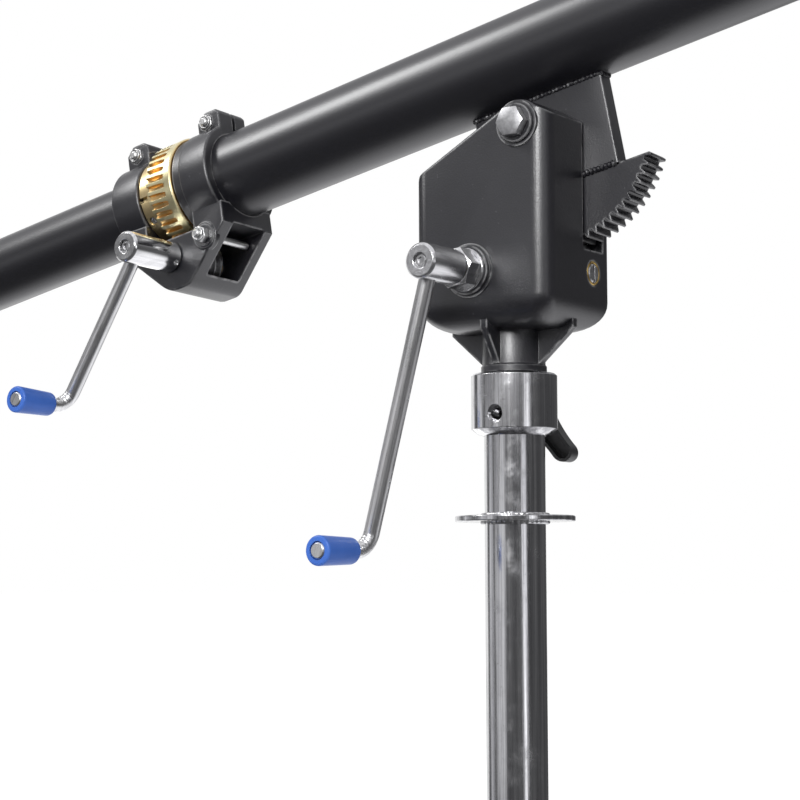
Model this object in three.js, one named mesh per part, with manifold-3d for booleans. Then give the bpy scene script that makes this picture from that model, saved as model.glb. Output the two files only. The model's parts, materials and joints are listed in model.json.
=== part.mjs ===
// An overhead boom arm for lights: a two-tube boom on a geared tilt head, carried by a steel column.
// One crank tilts the boom through a mitre pair, a worm and a toothed sector; the other turns the
// front tube about its own axis through a worm and a brass wheel.
// Millimetres, +Z up. The origin is the middle of the column's lower end.
import * as THREE from "three";
import { mergeVertices } from "three/addons/utils/BufferGeometryUtils.js";
import Module from "manifold-3d";

const wasm = await Module();
wasm.setup();

// Shared clearances and roundness
const seat = 0.3; // gap between two faces that touch
const fit = 0.2; // radial clearance of a pin in its hole
const overrun = 3; // how far a cutting tool runs past the face that it cuts
const weldThreshold = 1e-3; // corners closer than this are one corner
const round = { large: 40, medium: 20, small: 16, tiny: 10, arc: 4 };
const turn = 2 * Math.PI;
const quarter = Math.PI / 2;
const half = 0.5;
const bite = 1; // how far joined bodies run into each other
const pinEdge = 1; // chamfer on the ends of shafts, pins and hexagons

// Column, its flange and the receiver on top; heights from the flange's top face
const column = { radius: 19.05, wall: 2.5, below: 250, inCollar: 3.2, chamfer: 0.6 };
const flange = { radius: 37.5, thick: 3.5, weld: 2.2 };
const collar = { radius: 27, bottom: 53.9, top: 88.5, cone: 4.1, coneFoot: 3.1, chamfer: 1.2 };
const collarHole = { height: 62.5, radius: 3.4, sinkRadius: 5.6, sinkDepth: 2.2, angle: 5.6 };
const spigot = { radius: 14.3, bottomGap: 1, top: 118, chamfer: 1.5, grooveRadius: 12.4, grooveLength: 11 };
const stud = { radius: 4, tipRadius: 2.8, tipLength: 2.5, cone: 1 };
const lever = {
  hubRadius: 9.6, hubTopRadius: 6.6, hubLength: 13, standOff: 1.5, armLength: 24.5, tipRadius: 6.6,
  waist: 6, depth: 10, wall: 2, angle: 33, outward: 8, topInset: 1,
};

// Tilt head: a casting centred on the column
const head = {
  halfX: 49.4, corner: 10.7, bottom: 114.7, bottomFillet: 18.3, filletLevels: 4, edge: 2.5,
  leftCornerRadius: 16, leftSkin: 0.05, leftSlope: 28.7, rightSlope: 31.4, apexRadius: 15.2,
  neckRadius: 19.75, lipRadius: 20.6, lipTop: 93.6, wall: 6, filletShareOfInset: 0.18, minFlat: 0.5,
};
const rib = { thick: 5, foot: 20.4, bottom: 94, tipX: 44.7, tipY: 34.6, top: 115.2, rootTop: 126, core: 15.6 };
const pivot = { x: 29, z: 237.3, boltRadius: 6, flats: 17, headHeight: 6, washerRadius: 12, washerThick: 2,
  nutHeight: 9, bossRadius: 14.2, bossHeight: 1.2, tail: 3 };
const slot = { centreY: 15, width: 24, floor: 164 };
const cover = { left: -29, right: 38.6, rimZ: 6, thick: 4.4, corner: 4, rimX: 4.6, wormGap: 0.18 };
const coverScrew = { radius: 2, headRadius: 3.2, headHeight: 2.2, headEdge: 1, length: 11, fromEdge: 3.6,
  fromSide: 5 };

// Tilt gearing
const sector = { module: 1.9, teeth: 72, thick: 20, chordBelowPivot: 30.7, pressure: 20, tipShare: 0.8,
  rootShare: 1.25, backlash: 0.45, halfAngle: 64, phaseShare: 0.68, gullet: 0.4, gulletShare: 0.3 };
const worm = { pitchRadius: 18.9, length: 24, backlash: 0.45, tipShare: 0.8, rootShare: 1.15, centreGap: 0.15,
  room: 0.6, shoulder: 1.7, shaftRadius: 6, collarRadius: 9, steps: 20 };
const mitre = { pitchRadius: 14, teeth: 16, face: 7, room: 1, frontRoom: 2, addendumShare: 0.8, dedendumShare: 1.2,
  tipToothShare: 0.16, rootToothShare: 0.52, hubRadius: 7.6, hubLength: 3 };
const wormBush = { radius: 7.5, bore: 6.2, webGap: 0.6, webThick: 4, proud: 0.6, notch: 1.6, notchHalf: 1 };
const crankBush = { radius: 8.8, nose: 17.6, gearGap: 1 };
const crankNut = { flats: 22.6, height: 12, chamfer: 1.6, spin: 20.7, washerRadius: 13.5, washerThick: 2.4,
  bossRadius: 16.9, bossHeight: 1.2, stepRadius: 15.2, stepHeight: 2.6 };

// Cranks: the tilt crank on the head, the turning crank on the gear bracket
const crankShaft = { radius: 6 };
const tiltCrank = { front: 53.7, hubLength: 34.6, hubRadius: 11, rodBehindFront: 11.7, armLength: 178.3,
  armAngle: 15.45, gripLength: 37.5 };
const turnCrank = { front: 46.6, hubLength: 46, hubRadius: 10.8, rodBehindFront: 13.5, armLength: 122.7,
  armAngle: 42.2, gripLength: 36 };
const rod = { radius: 5, bend: 12, bendSteps: 7, headRadius: 5.25, headLength: 3, headEdge: 1, aboveAxis: 4,
  sides: 16 };
const grip = { frontRadius: 9.1, rearRadius: 8.2, frontRound: 1.6, rearRound: 2.7, boreFront: 5.6, clear: 0.3 };
const hub = { chamfer: 1.6, recessRadius: 3.9, recessDepth: 3, screwFlats: 4, screwSunk: 1, screwChamfer: 0.3 };
const setHole = { radius: 2, depth: 3, beforeRear: 3.8, angle: 40 };

// Boom
const boom = { tilt: 11.54, y: 10, z: 291.1, radius: 30, wall: 3, rear: 600, front: -268.5 };
const frontTube = { radius: 25.4, wall: 3, front: -900, rear: -120 };
const tubeBush = { length: 28, inset: 0.5 };
const plate = { left: -38, right: 57, thick: 12, front: 4.5, sleeveRadius: 12, bushWall: 1.8, sideGap: 0.4 };

// Gear bracket on the boom; s runs along the boom, n up and square to it
const bracket = {
  roll: -2.7, front: 28, back: 26, wallFront: 11, wallBack: 9,
  leftRing: { from: -330.5, to: -305, radius: 33.5 },
  rightRing: { from: -262, to: -237, radius: 37.6 },
  right: -235, rightTop: -24, rightFoot: -39.4, slantFoot: -268.2, slantFootN: -72, floorN: -75.2,
  floorLeft: -284, floorRight: -275.5,
  leftFoot: -298.7, leftFootN: -67.4, leftKnee: -314.7, leftKneeN: -51.6, leftTop: -330.5, leftTopN: -20,
  slit: 3, boreGap: 0.25, wheelGap: 0.9, bandWall: 6, leftDrop: 17, windowInset: 8, bite: 1,
  shoulder: { from: -268.4, radius: 36.6 },
  sill: { to: -261.5, n: -37.8, upTo: -15 },
};
const ear = { front: 16, back: 13, chamfer: 6, boltRadius: 3, root: 26 };
const rightEar = { from: -257, to: -237, topFrom: -249.5, topTo: -239.5, top: 48, boltS: -248.5, boltN: 40.2 };
const leftEar = { from: -325.5, to: -304.5, topFrom: -319, topTo: -309, top: 46, boltS: -316.5, boltN: 38 };
const clampBolt = { headRadius: 4.7, headHeight: 6, sink: 4.2, socketFlats: 5, socketDepth: 3, nutFlats: 10,
  nutHeight: 5, pocketFlats: 10.6, collarRadius: 4.7, collarHeight: 1.8, tail: 1.6 };
const lock = { s: -252.5, n: -45, radius: 2.8, inside: 16, nutFlats: 10, nutHeight: 5, collarRadius: 4.7,
  collarHeight: 1.8, proud: 2, bossRadius: 8.1, bossHeight: 1.5 };
const wheel = { module: 2, teeth: 37, rimFrom: -291.5, rimTo: -269, rimRadius: 38.5, hubFrom: -304.7, hubRadius: 32,
  edge: 1, gashWidth: 3.9, gashSlope: 8, gashSteps: 18, deepShare: 1.2, shallowShare: 1.9,
  screwRadius: 3, screwS: -299.5, screwAngle: 36.8, screwInset: 1, screwChamfer: 0.4, keyDepth: 2.5,
  notchTo: -297.2, notchDepth: 4, notchWidth: 3.8, notchAngle: 7.3 };
const turnWorm = { s: -285.5, n: -51, pitchRadius: 13.9, length: 25, backlash: 0.5, tipShare: 0.9, rootShare: 1,
  collarRadius: 8.5, steps: 20, bushRadius: 8.6, bushBore: 6.2 };

// Ends of the boom
const lampSocket = { plugRadius: 22.1, plugLength: 60, collarRadius: 28, collarLength: 8, sleeveRadius: 22,
  bore: 14.6, sleeveHalf: 34, axisAhead: 34, webHalf: 14, chamfer: 1.2 };
const lampScrew = { radius: 5, headRadius: 7, length: 42, barRadius: 4, barLength: 56, headLength: 12, gap: 0.4 };
const rearCap = { thick: 6, plug: 24, round: 2, gap: 0.3 };
const weightRing = { radius: 16, wire: 4, drop: 22, fromEnd: 40, padX: 11, padY: 6 };

// Worked-out places
const tilt = THREE.MathUtils.degToRad(boom.tilt);
const sectorRadius = sector.module * sector.teeth * half;
const wormZ = pivot.z - sectorRadius - worm.pitchRadius - worm.centreGap;
const collarSeatZ = collar.bottom + column.inCollar;
const pivotFromBoom = {
  s: pivot.x * Math.cos(tilt) + (pivot.z - boom.z) * Math.sin(tilt),
  n: -pivot.x * Math.sin(tilt) + (pivot.z - boom.z) * Math.cos(tilt),
};
const chordN = pivotFromBoom.n - sector.chordBelowPivot;
const webRight = pivot.x - worm.length * half - worm.shoulder;
const webLeft = webRight - wormBush.webThick;
const crankX = webLeft - wormBush.webGap - mitre.hubLength - mitre.pitchRadius;
const wormTip = worm.pitchRadius + sector.module * worm.tipShare;
const wormRoom = wormTip + worm.room;
const coverSeatY = slot.centreY + wormTip + cover.wormGap;
const headHalfY = coverSeatY + cover.thick;
const slotFront = slot.centreY - slot.width * half;
const slotBack = slot.centreY + slot.width * half;

// Finishes
const finish = {
  black: { color: 0x17181b, roughness: 0.45, metalness: 0.1 },
  chrome: { color: 0xc9cbce, roughness: 0.14, metalness: 1 },
  steel: { color: 0x8d8f93, roughness: 0.3, metalness: 1 },
  zinc: { color: 0xb5b8ba, roughness: 0.35, metalness: 0.9 },
  brass: { color: 0xc9a24a, roughness: 0.32, metalness: 0.9 },
  blue: { color: 0x3f6fd0, roughness: 0.5, metalness: 0 },
  plastic: { color: 0x1b1b1d, roughness: 0.6, metalness: 0 },
  nylon: { color: 0xd9d6cc, roughness: 0.6, metalness: 0 },
};

// Geometry helpers
function toSolid(geometry) {
  const bare = geometry.clone();
  bare.deleteAttribute("normal");
  bare.deleteAttribute("uv");
  const merged = mergeVertices(bare, weldThreshold);
  return new wasm.Manifold(
    new wasm.Mesh({
      numProp: 3,
      vertProperties: merged.attributes.position.array,
      triVerts: new Uint32Array(merged.index.array),
    }),
  );
}

function toGeometry(solid) {
  const mesh = solid.getMesh();
  const geometry = new THREE.BufferGeometry();
  geometry.setAttribute("position", new THREE.BufferAttribute(new Float32Array(mesh.vertProperties), mesh.numProp));
  geometry.setIndex(new THREE.BufferAttribute(new Uint32Array(mesh.triVerts), 1));
  return geometry;
}

function join(...geometries) {
  return toGeometry(geometries.map(toSolid).reduce((whole, next) => whole.add(next)));
}

function cut(geometry, ...tools) {
  return toGeometry(tools.map(toSolid).reduce((left, tool) => left.subtract(tool), toSolid(geometry)));
}

function common(first, second) {
  return toGeometry(toSolid(first).intersect(toSolid(second)));
}

// A box between two corners
function box(x0, x1, y0, y1, z0, z1) {
  return new THREE.BoxGeometry(x1 - x0, y1 - y0, z1 - z0).translate(
    (x0 + x1) * half, (y0 + y1) * half, (z0 + z1) * half);
}

// A profile of [radius, height] pairs, counter-clockwise, turned about +Z
function lathe(profile, segments) {
  const points = profile.map(([radius, height]) => new THREE.Vector2(radius, height));
  return new THREE.LatheGeometry(points, segments).rotateX(quarter);
}

function cylinder(radius, from, to, segments = round.small) {
  return lathe([[0, from], [radius, from], [radius, to], [0, to]], segments);
}

// A cylinder with both rims chamfered
function pin(radius, from, to, chamfer, segments = round.small) {
  return lathe([
    [0, from], [radius - chamfer, from], [radius, from + chamfer],
    [radius, to - chamfer], [radius - chamfer, to], [0, to],
  ], segments);
}

function tube(outer, inner, from, to, segments = round.large) {
  return lathe([[inner, from], [outer, from], [outer, to], [inner, to], [inner, from]], segments);
}

// A hexagon prism whose corners are turned down as on a nut or a bolt's head
function hexagon(flats, from, to, chamfer, flatDown = false) {
  const corner = flats / Math.sqrt(3);
  const prism = new THREE.CylinderGeometry(corner, corner, to - from, 6)
    .rotateX(quarter).rotateZ(flatDown ? turn / 12 : 0).translate(0, 0, (from + to) * half);
  return chamfer ? common(prism, pin(corner, from, to, chamfer, round.small)) : prism;
}

// Turns a piece made along +Z so that it lies along another axis
const towards = {
  x: (geometry) => geometry.rotateY(quarter),
  minusX: (geometry) => geometry.rotateY(-quarter),
  y: (geometry) => geometry.rotateX(-quarter),
  front: (geometry) => geometry.rotateX(quarter),
  down: (geometry) => geometry.rotateX(2 * quarter),
};

// An outline in the X-Z plane, given depth from y0 back to y1
function frontPrism(outline, y0, y1) {
  return new THREE.ExtrudeGeometry(outline, { depth: y1 - y0, bevelEnabled: false, curveSegments: round.arc })
    .rotateX(quarter).translate(0, y1, 0);
}

function polygon(points) {
  return new THREE.Shape(points.map(([x, y]) => new THREE.Vector2(x, y)));
}

// Rings of as many points each, lowest first and counter-clockwise seen from the last, joined to one closed skin
function loft(rings) {
  const count = rings[0].length;
  const places = rings.flat();
  const middle = (ring) => ring.reduce((sum, p) => sum.add(p), new THREE.Vector3()).divideScalar(count);
  const first = places.push(middle(rings[0])) - 1;
  const last = places.push(middle(rings[rings.length - 1])) - 1;
  const faces = [];
  for (let j = 0; j < count; j++) {
    const next = (j + 1) % count;
    faces.push(first, next, j);
    const top = (rings.length - 1) * count;
    faces.push(last, top + j, top + next);
    for (let i = 0; i + 1 < rings.length; i++) {
      const [a, b] = [i * count + j, i * count + next];
      faces.push(a, b, b + count, a, b + count, a + count);
    }
  }
  return new THREE.BufferGeometry().setFromPoints(places).setIndex(faces);
}

// A rounded rectangle of points at one height, counter-clockwise
function roundedRing(halfX, halfY, radius, height, steps) {
  const corners = [[1, 1], [-1, 1], [-1, -1], [1, -1]];
  return corners.flatMap(([sideX, sideY], k) =>
    Array.from({ length: steps + 1 }, (_, i) => {
      const angle = (k + i / steps) * quarter;
      return new THREE.Vector3(
        sideX * (halfX - radius) + radius * Math.cos(angle),
        sideY * (halfY - radius) + radius * Math.sin(angle),
        height);
    }));
}

function roundedRectangle(x0, x1, y0, y1, radius) {
  const shape = new THREE.Shape();
  shape.moveTo(x1, y0 + radius);
  shape.absarc(x1 - radius, y1 - radius, radius, 0, quarter, false);
  shape.absarc(x0 + radius, y1 - radius, radius, quarter, 2 * quarter, false);
  shape.absarc(x0 + radius, y0 + radius, radius, 2 * quarter, 3 * quarter, false);
  shape.absarc(x1 - radius, y0 + radius, radius, 3 * quarter, 4 * quarter, false);
  return shape;
}

const model = new THREE.Group();
const mastFrame = new THREE.Group();
mastFrame.position.z = column.below;
model.add(mastFrame);
const boomFrame = new THREE.Group();
boomFrame.position.set(0, boom.y, boom.z);
boomFrame.rotation.y = -tilt;
mastFrame.add(boomFrame);
const bracketFrame = new THREE.Group();
bracketFrame.rotation.x = THREE.MathUtils.degToRad(bracket.roll);
boomFrame.add(bracketFrame);

function piece(name, geometry, look, frame = mastFrame) {
  const shaded = geometry.index ? geometry.toNonIndexed() : geometry;
  shaded.computeVertexNormals();
  const mesh = new THREE.Mesh(shaded, new THREE.MeshStandardMaterial({ ...finish[look], flatShading: true }));
  mesh.name = name;
  frame.add(mesh);
  return mesh;
}

// Column, flange and receiver
function makeColumn() {
  const top = collarSeatZ - seat;
  const inner = column.radius - column.wall;
  piece("column_tube", lathe([
    [inner, -column.below], [column.radius - column.chamfer, -column.below],
    [column.radius, column.chamfer - column.below], [column.radius, top], [inner, top], [inner, -column.below],
  ], round.large), "chrome");

  const hole = column.radius + fit;
  const under = -flange.thick;
  piece("column_flange", lathe([
    [hole, under - flange.weld], [hole + flange.weld, under], [flange.radius, under],
    [flange.radius, 0], [hole + flange.weld, 0], [hole, flange.weld], [hole, under - flange.weld],
  ], round.large), "chrome");

  const bore = spigot.radius + seat;
  const body = lathe([
    [hole, collar.bottom - collar.cone], [collar.radius - collar.cone, collar.bottom - collar.coneFoot],
    [collar.radius, collar.bottom], [collar.radius, collar.top - collar.chamfer],
    [collar.radius - collar.chamfer, collar.top], [bore + collar.chamfer, collar.top],
    [bore, collar.top - collar.chamfer], [bore, collarSeatZ], [hole, collarSeatZ],
    [hole, collar.bottom - collar.cone],
  ], round.large);
  const drill = lathe([
    [0, 0], [collarHole.radius, 0], [collarHole.radius, collar.radius - collarHole.sinkDepth],
    [collarHole.sinkRadius, collar.radius], [collarHole.sinkRadius, collar.radius + overrun],
    [0, collar.radius + overrun],
  ], round.small);
  const tapped = cylinder(stud.radius + fit, 0, collar.radius + overrun, round.small);
  const spin = THREE.MathUtils.degToRad(collarHole.angle);
  towards.front(drill).rotateZ(spin).translate(0, 0, collarHole.height);
  towards.y(tapped).rotateZ(spin).translate(0, 0, collarHole.height);
  piece("receiver_collar", cut(body, drill, tapped), "chrome");
}

// Clamp lever that locks the head's swivel
function makeLever() {
  const frame = new THREE.Group();
  frame.rotation.z = THREE.MathUtils.degToRad(collarHole.angle);
  frame.position.z = collarHole.height;
  mastFrame.add(frame);

  const tip = spigot.grooveRadius + seat;
  const hubFrom = collar.radius + lever.standOff;
  const studLength = hubFrom + lever.hubLength * half - tip;
  piece("lever_stud", towards.y(lathe([
    [0, tip], [stud.tipRadius, tip], [stud.tipRadius, tip + stud.tipLength],
    [stud.radius, tip + stud.tipLength + stud.cone], [stud.radius, tip + studLength], [0, tip + studLength],
  ], round.small)), "zinc", frame);

  const armFrom = hubFrom + lever.hubLength - lever.depth;
  const slant = THREE.MathUtils.degToRad(lever.angle);
  const arm = (inset, from, to) => {
    const outline = new THREE.Shape();
    const hubR = lever.hubRadius - inset;
    const tipR = lever.tipRadius - inset;
    const waist = lever.waist - inset;
    outline.absarc(0, 0, hubR, 0, 2 * quarter, false);
    outline.quadraticCurveTo(-waist, -lever.armLength * half, -tipR, -lever.armLength);
    outline.absarc(0, -lever.armLength, tipR, 2 * quarter, 4 * quarter, false);
    outline.quadraticCurveTo(waist + inset, -lever.armLength * half, hubR, 0);
    return frontPrism(outline, from, to).rotateY(-slant);
  };
  const lean = (geometry) => {
    const place = geometry.getAttribute("position");
    const direction = new THREE.Vector2(Math.sin(slant), -Math.cos(slant));
    for (let i = 0; i < place.count; i++) {
      const along = direction.x * place.getX(i) + direction.y * place.getZ(i);
      place.setY(i, place.getY(i) + (Math.max(along, 0) / lever.armLength) * lever.outward);
    }
    return geometry;
  };
  const shell = lean(arm(0, armFrom, armFrom + lever.depth));
  const hollow = lean(arm(lever.wall, armFrom - overrun, armFrom + lever.depth - lever.wall));
  const bossTop = hubFrom + lever.hubLength - lever.topInset;
  const boss = towards.y(lathe([
    [0, hubFrom], [lever.hubTopRadius, hubFrom], [lever.hubTopRadius, bossTop], [0, bossTop],
  ], round.small));
  const socket = towards.y(cylinder(stud.radius + fit, 0, tip + studLength + seat, round.small));
  piece("clamp_lever", cut(join(cut(shell, hollow), boss), socket), "plastic", frame);
}

// The spigot under the head, waisted where the lever's stud bites
function makeSpigot() {
  const bottom = collarSeatZ + spigot.bottomGap;
  const grooveHigh = collarHole.height + spigot.grooveLength * half;
  const step = spigot.radius - spigot.grooveRadius;
  piece("head_spigot", lathe([
    [0, bottom], [spigot.grooveRadius, bottom], [spigot.grooveRadius, grooveHigh - step],
    [spigot.radius, grooveHigh], [spigot.radius, spigot.top - spigot.chamfer],
    [spigot.radius - spigot.chamfer, spigot.top], [0, spigot.top],
  ], round.medium), "steel");
}

// Outline of the head seen from the front
function headOutline() {
  const [left, right] = [-head.halfX - head.leftSkin, head.halfX + overrun];
  const risingLeft = THREE.MathUtils.degToRad(head.leftSlope);
  const fallingRight = THREE.MathUtils.degToRad(head.rightSlope);
  const [tangentX, tangentZ] = [
    pivot.x - head.apexRadius * Math.sin(risingLeft), pivot.z + head.apexRadius * Math.cos(risingLeft)];
  const slopeZ = (x) => tangentZ + (x - tangentX) * Math.tan(risingLeft);
  const r = head.leftCornerRadius;
  const cornerX = left + r;
  const cornerZ = slopeZ(cornerX) - r / Math.cos(risingLeft);
  const rightZ = pivot.z + head.apexRadius / Math.cos(fallingRight) - (right - pivot.x) * Math.tan(fallingRight);
  const outline = new THREE.Shape();
  outline.moveTo(left, head.bottom - overrun);
  outline.lineTo(right, head.bottom - overrun);
  outline.lineTo(right, rightZ);
  outline.absarc(pivot.x, pivot.z, head.apexRadius, quarter - fallingRight, quarter + risingLeft, false);
  outline.absarc(cornerX, cornerZ, r, quarter + risingLeft, 2 * quarter, false);
  return outline;
}

// The casting's block: rounded in plan, with a round-edged floor, trimmed to the outline
function headBlock() {
  const rings = Array.from({ length: head.filletLevels + 1 }, (_, i) => {
    const angle = (i / head.filletLevels) * quarter;
    const inset = head.bottomFillet * (1 - Math.sin(angle));
    const halfY = headHalfY - inset;
    const radius = Math.min(head.corner + inset * head.filletShareOfInset, halfY - head.minFlat);
    const height = head.bottom + head.bottomFillet * (1 - Math.cos(angle));
    return roundedRing(head.halfX - inset, halfY, radius, height, round.arc);
  });
  const top = pivot.z + head.apexRadius + overrun;
  rings.push(roundedRing(head.halfX, headHalfY, head.corner, top, round.arc));
  const trim = new THREE.ExtrudeGeometry(headOutline(), {
    depth: 2 * (headHalfY - head.edge), bevelThickness: head.edge, bevelSize: head.edge, bevelOffset: -head.edge,
    bevelSegments: 3, curveSegments: round.arc,
  }).rotateX(quarter).translate(0, headHalfY - head.edge, 0);
  return common(loft(rings), trim);
}

function headRibs() {
  const outline = (reach) => polygon([
    [rib.core, rib.bottom], [rib.foot, rib.bottom], [reach, rib.top], [reach, rib.top + rib.thick],
    [reach - rib.thick, rib.rootTop], [rib.core, rib.rootTop]]);
  return [[rib.tipX, 0], [rib.tipY, 1], [rib.tipX, 2], [rib.tipY, 3]].map(([reach, side]) =>
    frontPrism(outline(reach), -rib.thick * half, rib.thick * half).rotateZ(side * quarter));
}

function makeHead() {
  const lipBottom = collar.top + seat;
  const neck = lathe([
    [0, lipBottom], [head.lipRadius - column.chamfer, lipBottom], [head.lipRadius, lipBottom + column.chamfer],
    [head.lipRadius, head.lipTop], [head.neckRadius, head.lipTop + column.chamfer],
    [head.neckRadius, head.bottom + overrun], [0, head.bottom + overrun],
  ], round.medium);
  const boss = (radius, height, x, z) =>
    towards.front(cylinder(radius, 0, height + overrun, round.medium)).translate(x, overrun - headHalfY, z);
  const body = join(headBlock(), neck,
    boss(pivot.bossRadius, pivot.bossHeight, pivot.x, pivot.z),
    boss(crankNut.bossRadius, crankNut.bossHeight, crankX, wormZ),
    boss(crankNut.stepRadius, crankNut.bossHeight + crankNut.stepHeight, crankX, wormZ), ...headRibs());

  const right = head.halfX - head.wall;
  const gearRoom = mitre.pitchRadius + (2 * mitre.pitchRadius) / mitre.teeth * mitre.addendumShare + mitre.room;
  const gearFront = slot.centreY - mitre.pitchRadius - mitre.hubLength - mitre.frontRoom;
  const [ahead, behind] = [-headHalfY - overrun * 2, headHalfY + overrun];
  const above = pivot.z + head.apexRadius + overrun;
  const coverZ = wormRoom + cover.rimZ;
  const screwFrom = coverSeatY - coverScrew.length + cover.thick - seat;
  const tools = [
    box(-head.halfX + head.wall, head.halfX + overrun, slotFront, slotBack, slot.floor, above),
    towards.x(cylinder(wormRoom, webRight, right, round.medium)).translate(0, slot.centreY, wormZ),
    box(webRight, cover.right - cover.rimX * half, slot.centreY, headHalfY, wormZ - wormRoom, wormZ + wormRoom),
    box(crankX - gearRoom, webLeft, gearFront, headHalfY, wormZ - gearRoom, wormZ + gearRoom),
    box(cover.left, cover.right, coverSeatY, behind, wormZ - coverZ, wormZ + coverZ),
    cylinder(spigot.radius + fit, lipBottom - overrun, spigot.top + seat, round.medium),
    towards.y(cylinder(pivot.boltRadius + fit, ahead, behind)).translate(pivot.x, 0, pivot.z),
    towards.y(cylinder(crankBush.radius + fit, ahead, gearFront + bite, round.medium)).translate(crankX, 0, wormZ),
    towards.x(cylinder(wormBush.radius + fit, webLeft - bite, head.halfX + overrun, round.small))
      .translate(0, slot.centreY, wormZ),
    ...coverScrewPlaces().map(([x, z]) =>
      towards.y(cylinder(coverScrew.radius + fit, screwFrom, coverSeatY + bite, round.tiny)).translate(x, 0, z)),
  ];
  piece("head_housing", cut(body, ...tools), "black");
  makeCover();
  makePivotBolt();
}

function coverScrewPlaces() {
  const reachZ = wormRoom + cover.rimZ - coverScrew.fromEdge;
  return [cover.left + coverScrew.fromSide, cover.right - coverScrew.fromSide].flatMap((x) =>
    [wormZ - reachZ, wormZ + reachZ].map((z) => [x, z]));
}

// Rear cover of the gear chamber, let into the casting
function makeCover() {
  const reachZ = wormRoom + cover.rimZ - seat;
  const front = coverSeatY + seat;
  const blank = frontPrism(
    roundedRectangle(cover.left + seat, cover.right - seat, wormZ - reachZ, wormZ + reachZ, cover.corner),
    front, headHalfY);
  const hole = cylinder(coverScrew.radius + fit, front - overrun, headHalfY + overrun, round.tiny);
  const holes = coverScrewPlaces().map(([x, z]) => towards.y(hole.clone()).translate(x, 0, z));
  piece("rear_cover", cut(blank, ...holes), "black");
  coverScrewPlaces().forEach(([x, z], i) => {
    const from = headHalfY - coverScrew.length + seat;
    const under = headHalfY + seat;
    const top = under + coverScrew.headHeight;
    piece(`cover_screw_${i + 1}`, towards.y(lathe([
      [0, from], [coverScrew.radius, from], [coverScrew.radius, under], [coverScrew.headRadius, under],
      [coverScrew.headRadius - coverScrew.headEdge, top], [0, top],
    ], round.tiny)).translate(x, 0, z), "zinc");
  });
}

// The boom's pivot: a hexagon-headed bolt through both cheeks, with washers and a nut
function makePivotBolt() {
  const front = -headHalfY - pivot.bossHeight - seat;
  const back = headHalfY + seat;
  const at = (geometry) => towards.y(geometry).translate(pivot.x, 0, pivot.z);
  const washer = () => tube(pivot.washerRadius, pivot.boltRadius + fit, 0, pivot.washerThick, round.medium);
  const headFront = front - pivot.washerThick - seat - pivot.headHeight;
  const headBack = headFront + pivot.headHeight;
  const nutFront = back + pivot.washerThick + seat;
  const shank = pin(pivot.boltRadius, headBack - bite, nutFront + pivot.nutHeight + pivot.tail, pinEdge);
  piece("pivot_bolt", at(join(hexagon(pivot.flats, headFront, headBack, pinEdge, true), shank)), "zinc");
  piece("pivot_washer", at(washer().translate(0, 0, front - pivot.washerThick)), "zinc");
  piece("pivot_nut_washer", at(washer().translate(0, 0, back)), "zinc");
  const nut = cut(hexagon(pivot.flats, nutFront, nutFront + pivot.nutHeight, pinEdge, true),
    cylinder(pivot.boltRadius + fit, nutFront - overrun, nutFront + pivot.nutHeight + overrun));
  piece("pivot_nut", at(nut), "zinc");
}

// A single-start right-hand thread on a core, along +X, cut square at both ends.
// crestAngle is where, counted from +Y towards +Z, a crest stands at x = 0.
function threadAlongX({ radius, module, length, tipShare, rootShare, backlash, steps, crestAngle }) {
  const lead = Math.PI * module;
  const slope = Math.tan(THREE.MathUtils.degToRad(sector.pressure));
  const tip = radius + module * tipShare;
  const root = radius - module * rootShare;
  const widthAt = (r) => lead * half - backlash - 2 * (r - radius) * slope;
  const [wide, narrow] = [widthAt(root) * half, widthAt(tip) * half];
  const section = [[-wide, root], [-narrow, tip], [narrow, tip], [wide, root]];
  const turns = Math.ceil(length / lead) + 2;
  const first = -Math.ceil(turns * half) - 1;
  const stations = [];
  for (let k = first; k <= first + turns + 2; k++) {
    section.forEach(([offset, r]) => stations.push([k * lead + offset, r]));
  }
  const perTurn = section.length;
  const count = stations.length;
  const places = [];
  for (let j = 0; j < steps; j++) {
    const angle = (j / steps) * turn;
    stations.forEach(([x, r]) => places.push(new THREE.Vector3(
      x + (lead * (angle - crestAngle)) / turn, r * Math.cos(angle), r * Math.sin(angle))));
  }
  const low = places.push(new THREE.Vector3(places[0].x, 0, 0)) - 1;
  const high = places.push(new THREE.Vector3(places[count - 1].x, 0, 0)) - 1;
  const faces = [];
  const at = (j, i) => (j < steps ? j * count + i : i + perTurn);
  for (let j = 0; j < steps; j++) {
    for (let i = 0; i + 1 < count; i++) {
      if (j === steps - 1 && i + 1 + perTurn >= count) continue;
      faces.push(at(j, i), at(j + 1, i + 1), at(j, i + 1), at(j, i), at(j + 1, i), at(j + 1, i + 1));
    }
    faces.push(at(j + 1, 0), at(j, 0), low);
    if (j < steps - 1) faces.push(at(j, count - 1), at(j + 1, count - 1), high);
  }
  for (let i = 0; i < perTurn; i++) {
    const last = (steps - 1) * count + count - 1 - perTurn + i;
    faces.push(i, i + 1, low, last + 1, last, high);
  }
  faces.push((steps - 1) * count + count - 1 - perTurn, count - 1, high);
  const rough = new THREE.BufferGeometry().setFromPoints(places).setIndex(faces);
  const envelope = towards.x(cylinder(tip + overrun, -length * half, length * half, round.tiny));
  return common(rough, envelope);
}

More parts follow.
